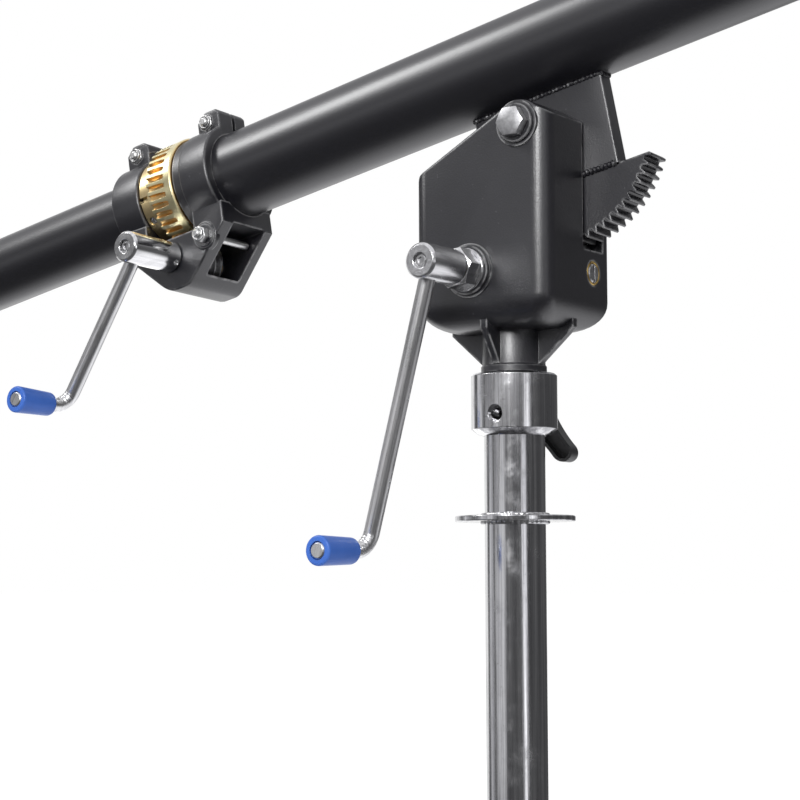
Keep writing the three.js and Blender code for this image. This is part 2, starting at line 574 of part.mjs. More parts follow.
// A straight mitre gear along +Z whose cone points at the origin
function mitreGear(toothAtAngle) {
  const module = (2 * mitre.pitchRadius) / mitre.teeth;
  const diagonal = Math.SQRT1_2;
  const back = mitre.pitchRadius;
  const small = 1 - mitre.face / (back / diagonal);
  const high = module * mitre.addendumShare * diagonal;
  const deep = module * mitre.dedendumShare * diagonal;
  const corner = (pitchShare, offset) => [pitchShare * half, offset];
  const tooth = [
    corner(-mitre.rootToothShare, -deep), corner(-mitre.tipToothShare, high),
    corner(mitre.tipToothShare, high), corner(mitre.rootToothShare, -deep)];
  const ring = (scale) => Array.from({ length: mitre.teeth }, (_, k) =>
    tooth.map(([share, offset]) => {
      const angle = toothAtAngle + ((k + share) / mitre.teeth) * turn;
      const r = (back + offset) * scale;
      return new THREE.Vector3(r * Math.cos(angle), r * Math.sin(angle), (back - offset) * scale);
    })).flat();
  const boss = cylinder(mitre.hubRadius, back * small, back + mitre.hubLength, round.small);
  return join(loft([ring(small), ring(1)]), boss);
}

// Tilt worm on its shaft, the mitre pair, the crank shaft and their bushes
function makeTiltDrive() {
  const shaftEnd = head.halfX + wormBush.proud;
  const wormLeft = pivot.x - worm.length * half;
  const thread = threadAlongX({
    ...worm, radius: worm.pitchRadius, module: sector.module,
    crestAngle: quarter - (sector.phaseShare - half) * turn,
  }).translate(pivot.x, 0, 0);
  const gearBack = crankX + mitre.pitchRadius + mitre.hubLength;
  const shaft = towards.x(pin(worm.shaftRadius, gearBack + seat, shaftEnd, pinEdge));
  const shoulder = towards.x(cylinder(worm.collarRadius, webRight + seat, wormLeft + bite));
  const wormRight = wormLeft + worm.length;
  const shoulderRight = towards.x(
    cylinder(worm.collarRadius, wormRight - bite, head.halfX - head.wall - seat));
  const notch = box(shaftEnd - wormBush.notch, shaftEnd + overrun, -wormBush.notchHalf, wormBush.notchHalf,
    -worm.collarRadius, worm.collarRadius);
  piece("tilt_worm", cut(join(thread, shaft, shoulder, shoulderRight), notch)
    .translate(0, slot.centreY, wormZ), "steel");
  const facing = mitreGear(2 * quarter / mitre.teeth);
  const bored = cut(towards.x(facing), towards.x(cylinder(worm.shaftRadius * half, 0, gearBack)));
  piece("mitre_gear_worm", bored.translate(crankX, slot.centreY, wormZ), "steel");
  const bush = (from, to) => tube(wormBush.radius, wormBush.bore, from, to, round.medium);
  piece("worm_bush_left", towards.x(bush(webLeft, webRight))
    .translate(0, slot.centreY, wormZ), "brass");
  piece("worm_bush_right", towards.x(bush(head.halfX - head.wall, head.halfX + wormBush.proud * half))
    .translate(0, slot.centreY, wormZ), "brass");

  const crankGear = towards.front(mitreGear(0));
  piece("mitre_gear_crank", crankGear.translate(crankX, slot.centreY, wormZ), "steel");
  const nose = -headHalfY - crankBush.nose;
  const gearFront = slot.centreY - mitre.pitchRadius - mitre.hubLength;
  const crankSleeve = tube(crankBush.radius, crankShaft.radius + fit, nose, gearFront - crankBush.gearGap,
    round.medium);
  piece("crank_bush", towards.y(crankSleeve).translate(crankX, 0, wormZ), "brass");
  const hubFront = -headHalfY - tiltCrank.front;
  const shaftFront = hubFront + tiltCrank.rodBehindFront + rod.radius + bite;
  piece("crank_shaft", towards.y(pin(crankShaft.radius, shaftFront, gearFront - seat, pinEdge))
    .translate(crankX, 0, wormZ), "steel");
  const face = -headHalfY - crankNut.bossHeight - crankNut.stepHeight;
  const washerFront = face - crankNut.washerThick;
  const washer = tube(crankNut.washerRadius, crankBush.radius + fit, washerFront, face - seat * half, round.medium);
  piece("crank_nut_washer", towards.y(washer).translate(crankX, 0, wormZ), "chrome");
  const nutBack = washerFront - seat * half;
  const nut = cut(hexagon(crankNut.flats, nutBack - crankNut.height, nutBack, crankNut.chamfer),
    cylinder(crankBush.radius + fit, nutBack - crankNut.height - overrun, nutBack + overrun, round.medium));
  const spin = THREE.MathUtils.degToRad(crankNut.spin);
  piece("crank_nut", towards.y(nut).rotateY(spin).translate(crankX, 0, wormZ), "chrome");
}

// A crank's rod: down from the hub, round the bend and forward through the grip; local -Y is forward
function crankRod(crank) {
  const angle = THREE.MathUtils.degToRad(crank.armAngle);
  const down = new THREE.Vector3(-Math.sin(angle), 0, -Math.cos(angle));
  const forward = new THREE.Vector3(0, -1, 0);
  const side = new THREE.Vector3().crossVectors(forward, down);
  const gripLength = crank.gripLength + grip.clear;
  const stations = [[-rod.aboveAxis, 0, 0], [crank.armLength - rod.bend, 0, 0]];
  for (let i = 1; i <= rod.bendSteps; i++) {
    const bent = (i / rod.bendSteps) * quarter;
    stations.push([crank.armLength - rod.bend * (1 - Math.sin(bent)), rod.bend * (1 - Math.cos(bent)), bent]);
  }
  const ring = ([along, ahead, bent], radius) => {
    const centre = down.clone().multiplyScalar(along).addScaledVector(forward, ahead);
    const normal = down.clone().multiplyScalar(Math.sin(bent)).addScaledVector(forward, -Math.cos(bent));
    return Array.from({ length: rod.sides }, (_, k) => {
      const a = (k / rod.sides) * turn;
      return centre.clone().addScaledVector(normal, radius * Math.cos(a)).addScaledVector(side, radius * Math.sin(a));
    });
  };
  const gripFrom = rod.bend + grip.clear;
  const end = gripFrom + gripLength;
  const rings = stations.map((station) => ring(station, rod.radius));
  rings.push(ring([crank.armLength, end - rod.headLength, quarter], rod.radius));
  rings.push(ring([crank.armLength, end - rod.headLength, quarter], rod.headRadius));
  rings.push(ring([crank.armLength, end - rod.headEdge, quarter], rod.headRadius));
  rings.push(ring([crank.armLength, end, quarter], rod.headRadius - rod.headEdge));
  return loft(rings);
}

function makeGrip(crank) {
  const from = rod.bend + grip.clear;
  const to = from + crank.gripLength;
  const profile = [
    [rod.radius + grip.clear, from], [grip.rearRadius - grip.rearRound, from],
    [grip.rearRadius, from + grip.rearRound],
    [grip.frontRadius, to - grip.frontRound],
    [grip.frontRadius - grip.frontRound, to], [grip.boreFront, to],
    [grip.boreFront, to - rod.headLength - grip.clear],
    [rod.radius + grip.clear, to - rod.headLength - grip.clear], [rod.radius + grip.clear, from],
  ];
  const angle = THREE.MathUtils.degToRad(crank.armAngle);
  return towards.front(lathe(profile, round.medium))
    .translate(-crank.armLength * Math.sin(angle), 0, -crank.armLength * Math.cos(angle));
}

// A hub on a shaft's end: bored from behind, cross-drilled for the rod, recessed in front.
// Its front face is at y = -rodBehindFront, so that the rod's plane is y = 0.
function crankHub(crank) {
  const front = -crank.rodBehindFront;
  const back = front + crank.hubLength;
  const blank = towards.y(lathe([
    [0, front], [crank.hubRadius - hub.chamfer, front], [crank.hubRadius, front + hub.chamfer],
    [crank.hubRadius, back - hub.chamfer * half], [crank.hubRadius - hub.chamfer * half, back], [0, back],
  ], round.medium));
  const bore = towards.y(cylinder(crankShaft.radius + fit, rod.radius + bite - fit, back + overrun));
  const recess = towards.y(cylinder(hub.recessRadius, front - overrun, front + hub.recessDepth));
  const angle = THREE.MathUtils.degToRad(crank.armAngle);
  const cross = cylinder(rod.radius + fit, -rod.aboveAxis - seat, crank.hubRadius + overrun, round.medium);
  towards.down(cross).rotateY(angle);
  return cut(blank, bore, recess, cross);
}

function hubScrew(crank) {
  const front = -crank.rodBehindFront;
  const blank = pin(hub.recessRadius - fit, front + hub.screwSunk, front + hub.recessDepth - seat, hub.screwChamfer);
  const key = hexagon(hub.screwFlats, front - overrun, front + hub.recessDepth - hub.screwSunk, 0);
  return towards.y(cut(blank, key));
}

function makeTiltCrank() {
  const frame = new THREE.Group();
  frame.position.set(crankX, -headHalfY - tiltCrank.front + tiltCrank.rodBehindFront, wormZ);
  mastFrame.add(frame);
  piece("tilt_crank_hub", crankHub(tiltCrank), "steel", frame);
  piece("tilt_crank_screw", hubScrew(tiltCrank), "steel", frame);
  piece("tilt_crank_arm", crankRod(tiltCrank), "steel", frame);
  piece("tilt_crank_grip", makeGrip(tiltCrank), "blue", frame);
}

// Involute half-thickness of a sector tooth, as an angle, at a radius
function toothHalfAngle(radius) {
  const pressure = THREE.MathUtils.degToRad(sector.pressure);
  const involute = (a) => Math.tan(a) - a;
  const base = sectorRadius * Math.cos(pressure);
  const here = Math.acos(Math.min(1, base / radius));
  const atPitch = (Math.PI * sector.module * half - sector.backlash) / sectorRadius;
  return atPitch * half + involute(pressure) - involute(here);
}

// Toothed sector: a slice of a spur wheel below the chord, its teeth slanted to the worm's lead
function makeSector() {
  const root = sectorRadius - sector.module * sector.rootShare;
  const tip = sectorRadius + sector.module * sector.tipShare;
  const pitchAngle = turn / sector.teeth;
  const radii = [root + sector.gullet, sectorRadius, tip];
  const outline = [];
  const restDown = -quarter - tilt;
  const reach = THREE.MathUtils.degToRad(sector.halfAngle);
  const push = (r, a) => outline.push([r * Math.cos(a), r * Math.sin(a)]);
  const firstTooth = Math.ceil((tilt - reach) / pitchAngle - sector.phaseShare);
  const lastTooth = Math.floor((tilt + reach) / pitchAngle - sector.phaseShare);
  for (let k = firstTooth; k <= lastTooth; k++) {
    const centre = restDown + (k + sector.phaseShare) * pitchAngle;
    push(root, centre - pitchAngle * sector.gulletShare);
    radii.forEach((r) => push(r, centre - toothHalfAngle(r)));
    [...radii].reverse().forEach((r) => push(r, centre + toothHalfAngle(r)));
  }
  outline.push([0, 0]);
  const lift = Math.atan((sector.module * half) / worm.pitchRadius);
  const blank = frontPrism(polygon(outline), -sector.thick * half, sector.thick * half);
  const place = blank.getAttribute("position");
  const spin = new THREE.Vector3();
  for (let i = 0; i < place.count; i++) {
    spin.fromBufferAttribute(place, i);
    spin.applyAxisAngle(new THREE.Vector3(0, 1, 0), (Math.tan(lift) * spin.y) / sectorRadius);
    place.setXYZ(i, spin.x, spin.y, spin.z);
  }
  const below = box(-tip * 2, tip * 2, -sector.thick, sector.thick, -tip * 2, -sector.chordBelowPivot);
  piece("sector_gear", common(blank, below)
    .translate(pivotFromBoom.s, slot.centreY - boom.y, pivotFromBoom.n), "black", boomFrame);
}

// Plate under the boom that hangs on the pivot and holds the sector
function makePlate() {
  const front = plate.front - boom.y;
  const back = front + plate.thick;
  const blank = box(plate.left, plate.right, front, back, chordN + seat, -boom.radius * half);
  const sleeveFront = slotFront + plate.sideGap - boom.y;
  const sleeveBack = slotBack - plate.sideGap - boom.y;
  const sleeve = towards.y(cylinder(plate.sleeveRadius, sleeveFront, sleeveBack, round.medium))
    .translate(pivotFromBoom.s, 0, pivotFromBoom.n);
  const bushRadius = pivot.boltRadius + fit + plate.bushWall;
  const bore = towards.y(cylinder(bushRadius + fit, sleeveFront - overrun, sleeveBack + overrun))
    .translate(pivotFromBoom.s, 0, pivotFromBoom.n);
  const saddle = towards.x(cylinder(boom.radius + seat, plate.left - overrun, plate.right + overrun, round.large));
  piece("pivot_plate", cut(join(blank, sleeve), bore, saddle), "black", boomFrame);
  piece("pivot_bush", towards.y(tube(bushRadius, pivot.boltRadius + fit, sleeveFront, sleeveBack, round.small))
    .translate(pivotFromBoom.s, 0, pivotFromBoom.n), "brass", boomFrame);
}

function makeTubes() {
  const pipe = ({ radius, wall, front, rear }) => towards.x(tube(radius, radius - wall, front, rear));
  piece("main_tube", pipe(boom), "black", boomFrame);
  piece("front_tube", pipe(frontTube), "black", boomFrame);
  const ring = (from) => tube(boom.radius - boom.wall - fit, frontTube.radius + fit, from, from + tubeBush.length);
  piece("tube_bush_front", towards.x(ring(boom.front + tubeBush.inset)), "nylon", boomFrame);
  piece("tube_bush_rear", towards.x(ring(frontTube.rear - tubeBush.length - tubeBush.inset)), "nylon", boomFrame);
}

// Clamp ring with its pair of ears, before it is slit
function clampRing(ring, lug) {
  const band = towards.x(tube(ring.radius, ring.radius - bracket.bandWall, ring.from, ring.to, round.large));
  const outline = polygon([
    [lug.from, ear.root], [lug.to, ear.root], [lug.to, lug.top - ear.chamfer * half], [lug.topTo, lug.top],
    [lug.topFrom, lug.top], [lug.from, lug.top - ear.chamfer]]);
  const ears = frontPrism(outline, -ear.front, ear.back);
  return [band, ears];
}

// Bracket casting: two clamp rings over a box that holds the turning worm
function makeBracket() {
  const b = bracket;
  const outline = new THREE.Shape();
  outline.moveTo(b.leftTop, b.leftTopN);
  outline.lineTo(b.leftTop, b.leftTopN - b.leftDrop);
  outline.lineTo(b.leftKnee, b.leftKneeN);
  outline.lineTo(b.leftFoot, b.leftFootN);
  const onFloor = (s0, n0, s1, n1) => s1 + ((s1 - s0) * (b.floorN - n1)) / (n1 - n0);
  const leftCorner = onFloor(b.leftKnee, b.leftKneeN, b.leftFoot, b.leftFootN);
  const rightCorner = onFloor(b.right, b.rightFoot, b.slantFoot, b.slantFootN);
  outline.quadraticCurveTo(leftCorner, b.floorN, b.floorLeft, b.floorN);
  outline.lineTo(b.floorRight, b.floorN);
  outline.quadraticCurveTo(rightCorner, b.floorN, b.slantFoot, b.slantFootN);
  outline.lineTo(b.right, b.rightFoot);
  outline.lineTo(b.right, b.rightTop);
  outline.closePath();
  const front = -b.front + b.wallFront;
  const sill = box(b.leftRing.to, b.sill.to, -b.front - overrun, front + b.bite, b.sill.n, b.sill.upTo);
  const block = cut(frontPrism(outline, -b.front, b.back), sill);
  const shoulder = towards.x(tube(b.shoulder.radius, boom.radius - b.bite, b.shoulder.from, b.rightRing.to));
  const [leftBand, leftEars] = clampRing(b.leftRing, leftEar);
  const [rightBand, rightEars] = clampRing(b.rightRing, rightEar);
  const lockBoss = towards.front(cylinder(lock.bossRadius, 0, lock.bossHeight + overrun))
    .translate(lock.s, -b.front + overrun, lock.n);
  const body = join(block, leftBand, leftEars, rightBand, rightEars, shoulder, lockBoss);

  const inner = new THREE.Shape();
  const room = turnWorm.pitchRadius + wheel.module * turnWorm.tipShare + b.bite;
  const leftRoom = turnWorm.s - room;
  const roomTop = b.rightTop + b.windowInset;
  const windowS = b.right + b.windowInset;
  const underRing = b.rightFoot + b.bite;
  inner.moveTo(leftRoom, roomTop);
  inner.lineTo(leftRoom, turnWorm.n);
  inner.absarc(turnWorm.s, turnWorm.n, room, 2 * quarter, 3 * quarter, false);
  inner.lineTo(windowS, turnWorm.n - room);
  inner.lineTo(windowS, underRing);
  inner.lineTo(b.shoulder.from, underRing);
  inner.lineTo(b.shoulder.from, roomTop);
  inner.closePath();
  const tools = [
    frontPrism(inner, front, b.back - b.wallBack),
    towards.x(cylinder(wheel.rimRadius + b.wheelGap, b.leftRing.to, b.shoulder.from, round.large)),
    towards.x(cylinder(frontTube.radius + b.boreGap, b.leftRing.from - overrun, b.leftRing.to + b.bite, round.large)),
    towards.x(cylinder(boom.radius + b.boreGap, b.shoulder.from - b.bite, b.right + overrun, round.large)),
    box(b.leftRing.from - overrun, b.right + overrun, -b.slit * half, b.slit * half, frontTube.radius * half,
      rightEar.top + overrun),
    ...[leftEar, rightEar].flatMap((lug) => [
      cylinder(ear.boltRadius + fit, -ear.front - overrun, ear.back + overrun, round.small),
      hexagon(clampBolt.pocketFlats, -ear.front - overrun, clampBolt.sink - ear.front, 0),
    ].map((tool) => towards.y(tool).translate(lug.boltS, 0, lug.boltN))),
    towards.y(cylinder(turnWorm.bushRadius + fit, -b.front - overrun, b.back + overrun))
      .translate(turnWorm.s, 0, turnWorm.n),
    towards.y(cylinder(lock.radius + fit, -b.front - overrun, 0, round.tiny)).translate(lock.s, 0, lock.n),
  ];
  piece("gear_bracket", cut(body, ...tools), "black", bracketFrame);
}

// A lock nut along +Z: its hexagon carries a round collar at the low end
function lockNut(size, bore, high) {
  const low = high - size.nutHeight;
  const outer = low - size.collarHeight;
  const collarRing = lathe([
    [0, outer], [size.collarRadius - column.chamfer, outer], [size.collarRadius, outer + column.chamfer],
    [size.collarRadius, low + bite], [0, low + bite],
  ], round.small);
  return cut(join(hexagon(size.nutFlats, low, high, column.chamfer), collarRing),
    cylinder(bore + fit, outer - overrun, high + overrun, round.small));
}

function makeBracketScrews() {
  const c = clampBolt;
  [["left", leftEar], ["right", rightEar]].forEach(([side, lug]) => {
    const at = (geometry) => towards.y(geometry).translate(lug.boltS, 0, lug.boltN);
    const under = c.sink - ear.front - seat;
    const tail = under - c.nutHeight - c.collarHeight - c.tail;
    const back = ear.back + seat;
    const blank = lathe([
      [0, tail], [ear.boltRadius - column.chamfer, tail], [ear.boltRadius, tail + column.chamfer],
      [ear.boltRadius, back], [c.headRadius, back], [c.headRadius, back + c.headHeight - column.chamfer],
      [c.headRadius - column.chamfer, back + c.headHeight], [0, back + c.headHeight],
    ], round.small);
    const key = hexagon(c.socketFlats, back + c.headHeight - c.socketDepth, back + c.headHeight + overrun, 0);
    piece(`clamp_bolt_${side}`, at(cut(blank, key)), "zinc", bracketFrame);
    piece(`clamp_nut_${side}`, at(lockNut(c, ear.boltRadius, under)), "zinc", bracketFrame);
  });
  const face = -bracket.front - lock.bossHeight - seat;
  const tip = face - lock.nutHeight - lock.collarHeight - lock.proud;
  piece("lock_nut", towards.y(lockNut(lock, lock.radius, face)).translate(lock.s, 0, lock.n), "zinc", bracketFrame);
  piece("lock_screw", towards.y(pin(lock.radius, tip, lock.inside, column.chamfer, round.tiny))
    .translate(lock.s, 0, lock.n), "zinc", bracketFrame);
}

// Brass wheel: a plain rim gashed by a round cutter of the worm's own radius, so each gash runs out in the rim
function makeWheel() {
  const bore = frontTube.radius + fit;
  const blank = lathe([
    [bore, wheel.hubFrom], [wheel.hubRadius - wheel.edge, wheel.hubFrom],
    [wheel.hubRadius, wheel.hubFrom + wheel.edge], [wheel.hubRadius, wheel.rimFrom],
    [wheel.rimRadius, wheel.rimFrom], [wheel.rimRadius, wheel.rimTo - wheel.edge],
    [wheel.rimRadius - wheel.edge, wheel.rimTo], [bore, wheel.rimTo], [bore, wheel.hubFrom],
  ], round.large);
  const slope = Math.tan(THREE.MathUtils.degToRad(wheel.gashSlope));
  const deep = turnWorm.pitchRadius + wheel.module * wheel.deepShare;
  const shallow = turnWorm.pitchRadius - wheel.module * wheel.shallowShare;
  const widthAt = (r) => wheel.gashWidth * half + (turnWorm.pitchRadius - r) * slope;
  const cutter = towards.y(lathe([
    [0, -widthAt(shallow)], [shallow, -widthAt(shallow)], [deep, -widthAt(deep)], [deep, widthAt(deep)],
    [shallow, widthAt(shallow)], [0, widthAt(shallow)],
  ], wheel.gashSteps));
  const lead = Math.atan((wheel.module * half) / turnWorm.pitchRadius);
  const gashes = Array.from({ length: wheel.teeth }, (_, k) =>
    cutter.clone().rotateZ(lead).translate(turnWorm.s, 0, turnWorm.n).rotateX((k / wheel.teeth) * turn));
  const notchOuter = -wheel.hubRadius - overrun;
  const notch = box(wheel.hubFrom - overrun, wheel.notchTo, notchOuter, wheel.notchDepth - wheel.hubRadius,
    -wheel.notchWidth * half, wheel.notchWidth * half).rotateX(THREE.MathUtils.degToRad(wheel.notchAngle));
  const aim = (geometry) => towards.front(geometry).rotateX(THREE.MathUtils.degToRad(wheel.screwAngle))
    .translate(wheel.screwS, 0, 0);
  const screwHole = aim(cylinder(wheel.screwRadius, frontTube.radius, wheel.hubRadius + overrun, round.tiny));
  piece("worm_wheel", cut(towards.x(blank), ...gashes, notch, screwHole), "brass", bracketFrame);
  const top = wheel.hubRadius - wheel.screwInset;
  const screw = pin(wheel.screwRadius - fit, bore + fit, top, wheel.screwChamfer, round.tiny);
  const key = hexagon(wheel.screwRadius, top - wheel.keyDepth, top + overrun, 0);
  piece("wheel_set_screw", aim(cut(screw, key)), "steel", bracketFrame);
}

// Turning worm, its bushes and its crank
function makeTurnDrive() {
  const b = bracket;
  const hubFront = -b.front - turnCrank.front;
  const shaftFront = hubFront + turnCrank.rodBehindFront + rod.radius + bite;
  const shaftBack = b.back - bite;
  const thread = threadAlongX({
    ...turnWorm, radius: turnWorm.pitchRadius, module: wheel.module, crestAngle: 0,
  });
  const alongY = new THREE.Matrix4().set(0, 0, 1, 0, 1, 0, 0, 0, 0, 1, 0, 0, 0, 0, 0, 1);
  thread.applyMatrix4(alongY);
  const shaft = towards.y(pin(crankShaft.radius, shaftFront, shaftBack, pinEdge));
  const room = -b.front + b.wallFront;
  const shoulders = towards.y(cylinder(turnWorm.collarRadius, room + seat, b.back - b.wallBack - seat));
  piece("turning_worm", join(thread, shaft, shoulders).translate(turnWorm.s, 0, turnWorm.n), "steel", bracketFrame);
  const bush = (from, to) => towards.y(tube(turnWorm.bushRadius, turnWorm.bushBore, from, to, round.medium))
    .translate(turnWorm.s, 0, turnWorm.n);
  piece("turning_bush_front", bush(-b.front, room), "brass", bracketFrame);
  piece("turning_bush_back", bush(b.back - b.wallBack, b.back), "brass", bracketFrame);
  const frame = new THREE.Group();
  frame.position.set(turnWorm.s, hubFront + turnCrank.rodBehindFront, turnWorm.n);
  bracketFrame.add(frame);
  const setY = turnCrank.hubLength - turnCrank.rodBehindFront - setHole.beforeRear;
  const drill = towards.x(cylinder(setHole.radius, turnCrank.hubRadius - setHole.depth, turnCrank.hubRadius + overrun))
    .rotateY(THREE.MathUtils.degToRad(setHole.angle)).translate(0, setY, 0);
  piece("turn_crank_hub", cut(crankHub(turnCrank), drill), "chrome", frame);
  piece("turn_crank_screw", hubScrew(turnCrank), "steel", frame);
  piece("turn_crank_arm", crankRod(turnCrank), "steel", frame);
  piece("turn_crank_grip", makeGrip(turnCrank), "blue", frame);
}

// Lamp socket on the front tube: a plug, a cross sleeve for a spigot and its clamp screw
function makeLampSocket() {
  const l = lampSocket;
  const end = frontTube.front;
  const axis = end - l.collarLength - l.axisAhead;
  const plug = towards.x(cylinder(l.plugRadius, end - l.collarLength + bite, end + l.plugLength, round.medium));
  const rim = towards.x(pin(l.collarRadius, end - l.collarLength, end - seat, l.chamfer, round.medium));
  const web = box(axis, end - l.collarLength + bite, -l.webHalf, l.webHalf, -l.webHalf, l.webHalf);
  const sleeve = pin(l.sleeveRadius, -l.sleeveHalf, l.sleeveHalf, l.chamfer, round.medium).translate(axis, 0, 0);
  const bore = cylinder(l.bore, -l.sleeveHalf - overrun, l.sleeveHalf + overrun, round.medium).translate(axis, 0, 0);
  const tapped = towards.minusX(cylinder(lampScrew.radius + fit, 0, l.sleeveRadius + overrun)).translate(axis, 0, 0);
  piece("lamp_socket", cut(join(plug, rim, web, sleeve), bore, tapped), "steel", boomFrame);
  const s = lampScrew;
  const tip = l.bore + s.gap;
  const screw = lathe([
    [0, tip], [s.radius, tip], [s.radius, s.length], [s.headRadius, s.length], [s.headRadius, s.length + s.headLength],
    [0, s.length + s.headLength],
  ], round.small);
  const bar = towards.y(pin(s.barRadius, -s.barLength * half, s.barLength * half, pinEdge))
    .translate(0, 0, s.length + s.headLength * half);
  piece("lamp_screw", towards.minusX(join(screw, bar)).translate(axis, 0, 0), "chrome", boomFrame);
}

// Rear end: a plastic plug, and a steel hook for a counterweight under the tube
function makeRearEnd() {
  const r = rearCap;
  const end = boom.rear + r.gap;
  const inner = boom.radius - boom.wall - fit;
  piece("rear_plug", towards.x(lathe([
    [0, boom.rear - r.plug], [inner, boom.rear - r.plug], [inner, end], [boom.radius, end],
    [boom.radius, end + r.thick - r.round], [boom.radius - r.round, end + r.thick], [0, end + r.thick],
  ], round.large)), "plastic", boomFrame);
  const w = weightRing;
  const s = boom.rear - w.fromEnd;
  const centre = -boom.radius - w.drop;
  const eye = new THREE.TorusGeometry(w.radius, w.wire, round.tiny, round.small).rotateX(quarter).translate(s, 0, centre);
  const pad = box(s - w.padX, s + w.padX, -w.padY, w.padY, centre + w.radius - w.wire * half, -boom.radius * half);
  const saddle = towards.x(cylinder(boom.radius + seat, s - w.padX - overrun, s + w.padX + overrun, round.large));
  piece("weight_ring", cut(join(eye, pad), saddle), "steel", boomFrame);
}

makeColumn();
makeLever();
makeSpigot();
makeHead();
makeTiltDrive();
makeTiltCrank();
makeTubes();
makePlate();
makeSector();
makeBracket();
makeBracketScrews();
makeWheel();
makeTurnDrive();
makeLampSocket();
makeRearEnd();

export default model;
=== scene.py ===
# Looks for the overhead boom arm: a geared tilt head on a steel column, a two-tube boom, and the worm
# drive that turns the boom's front tube. A form is shaped in millimetres in the frame of the assembly that
# holds it, and then put in its place in metres.
import json
import math

import bmesh
import bpy
from mathutils import Matrix, Vector


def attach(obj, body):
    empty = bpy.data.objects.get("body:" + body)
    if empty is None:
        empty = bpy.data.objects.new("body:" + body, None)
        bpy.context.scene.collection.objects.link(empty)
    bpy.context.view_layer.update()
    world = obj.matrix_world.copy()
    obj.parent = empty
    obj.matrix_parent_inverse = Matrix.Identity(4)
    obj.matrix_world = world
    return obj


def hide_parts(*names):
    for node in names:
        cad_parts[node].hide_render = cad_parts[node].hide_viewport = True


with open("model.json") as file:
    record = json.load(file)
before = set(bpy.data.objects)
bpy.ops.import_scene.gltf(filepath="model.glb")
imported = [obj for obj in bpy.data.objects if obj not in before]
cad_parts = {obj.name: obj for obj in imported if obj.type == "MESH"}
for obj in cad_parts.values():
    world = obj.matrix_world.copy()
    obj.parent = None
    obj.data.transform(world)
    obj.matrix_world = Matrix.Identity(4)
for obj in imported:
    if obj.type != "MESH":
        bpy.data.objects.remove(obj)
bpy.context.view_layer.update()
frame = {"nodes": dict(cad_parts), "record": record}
record = frame["record"]
BODY_OF = {node: body for body, nodes in record["behaviour"]["bodies"].items() for node in nodes}
SLOT_OF = {part["node"]: part["material_slot"] for part in record["subparts"]}

QUARTER, TURN = math.pi / 2, 2 * math.pi
ALONG_X = Matrix.Rotation(QUARTER, 4, "Y")
ALONG_Y = Matrix.Rotation(-QUARTER, 4, "X")
FRONTWARD = Matrix.Rotation(QUARTER, 4, "X")


def shifted(base, x, y, z):
    return base @ Matrix.Translation((x, y, z))


# Sizes of the pieces in millimetres. On the column and the head, levels count up from the flange. On the
# boom, s runs along its axis towards the rear end and n is square to it, upwards.
SEAT, FIT, OVER = 0.3, 0.2, 3.0  # gap where two pieces seat, play in a bore, how far a cutting form runs past
SHAFT, SHAFT_BORE = 6.0, 6.2
COLUMN = {"radius": 19.05, "wall": 2.5, "foot": -250.0, "top": 56.8, "edge": 0.6}
FLANGE = {"radius": 37.5, "thick": 3.5, "edge": 0.5, "bead": 1.5, "bead_out": 0.8, "bead_off": 0.4}
COLLAR = {"radius": 27.0, "bottom": 53.9, "top": 88.5, "cone": 4.1, "edge": 1.2, "seat": 57.1,
          "dimple": 3.4, "mouth": 5.6, "mouth_depth": 2.2}
LEVER = {"height": 62.5, "hub": 9.6, "hub_top": 6.6, "hub_length": 13.0, "stand_off": 1.5, "arm": 24.5, "tip": 6.6,
         "waist": 6.0, "depth": 10.0, "wall": 2.0, "slant": math.radians(33), "outward": 8.0, "stud": 4.2,
         "turn": math.radians(5.6)}
SPIGOT = {"radius": 14.3, "top": 118.0, "edge": 1.5, "groove": 12.4, "groove_length": 11.0}
HEAD = {"half_x": 49.4, "half_y": 40.0, "corner": 10.7, "bottom": 114.7, "fillet": 18.3, "edge": 2.5,
        "left_corner": 16.0, "left_slope": math.radians(28.7), "right_slope": math.radians(31.4), "apex": 15.2,
        "neck": 19.75, "lip": 20.6, "lip_top": 93.6, "wall": 6.0}
RIB = {"thick": 5.0, "foot": 20.4, "bottom": 94.0, "reach_x": 44.7, "reach_y": 34.6, "top": 115.2, "root": 126.0,
       "core": 15.6}
PIVOT = {"x": 29.0, "z": 237.3, "bolt": 6.0, "flats": 17.0, "head": 6.0, "washer": 12.0, "washer_thick": 2.0,
         "nut": 9.0, "boss": 14.2, "boss_height": 1.2, "tail": 3.0}
GEAR_Y, WORM_Z, CRANK_X = 15.0, 149.85, -6.3
CHAMBER = {"slot": 12.0, "slot_bottom": 164.0, "worm": 21.02, "web": 15.3, "web_thick": 4.0, "gears": 16.4,
           "gears_front": -4.0, "cover_lip": 2.3, "bush": 7.7, "bush_from": 10.3}
COVER = {"left": -29.0, "right": 38.6, "reach": 27.02, "thick": 4.4, "corner": 4.0, "screw_hole": 2.2,
         "screw_in_x": 5.0, "screw_in_z": 3.6, "hole_from": 28.7}
CRANK_NUT = {"flats": 22.6, "height": 12.0, "washer": 13.5, "washer_thick": 2.4, "boss": 16.9, "boss_height": 1.2,
             "step": 15.2, "step_height": 2.6, "bush": 8.8, "nose": 17.6, "spin": math.radians(20.7), "bore": 9.0,
             "gap": 0.15}
TILT_CRANK = {"front": 53.7, "hub_length": 34.6, "hub": 11.0, "behind": 11.7, "arm": 178.3,
              "angle": math.radians(15.45), "grip": 37.5, "set_hole": None}
TURN_CRANK = {"front": 46.6, "hub_length": 46.0, "hub": 10.8, "behind": 13.5, "arm": 122.7,
              "angle": math.radians(42.2), "grip": 36.0, "set_hole": {"along": 28.7, "angle": math.radians(40)}}
ROD = {"radius": 5.0, "bend": 12.0, "head": 5.25, "head_length": 3.0, "above": 4.0}
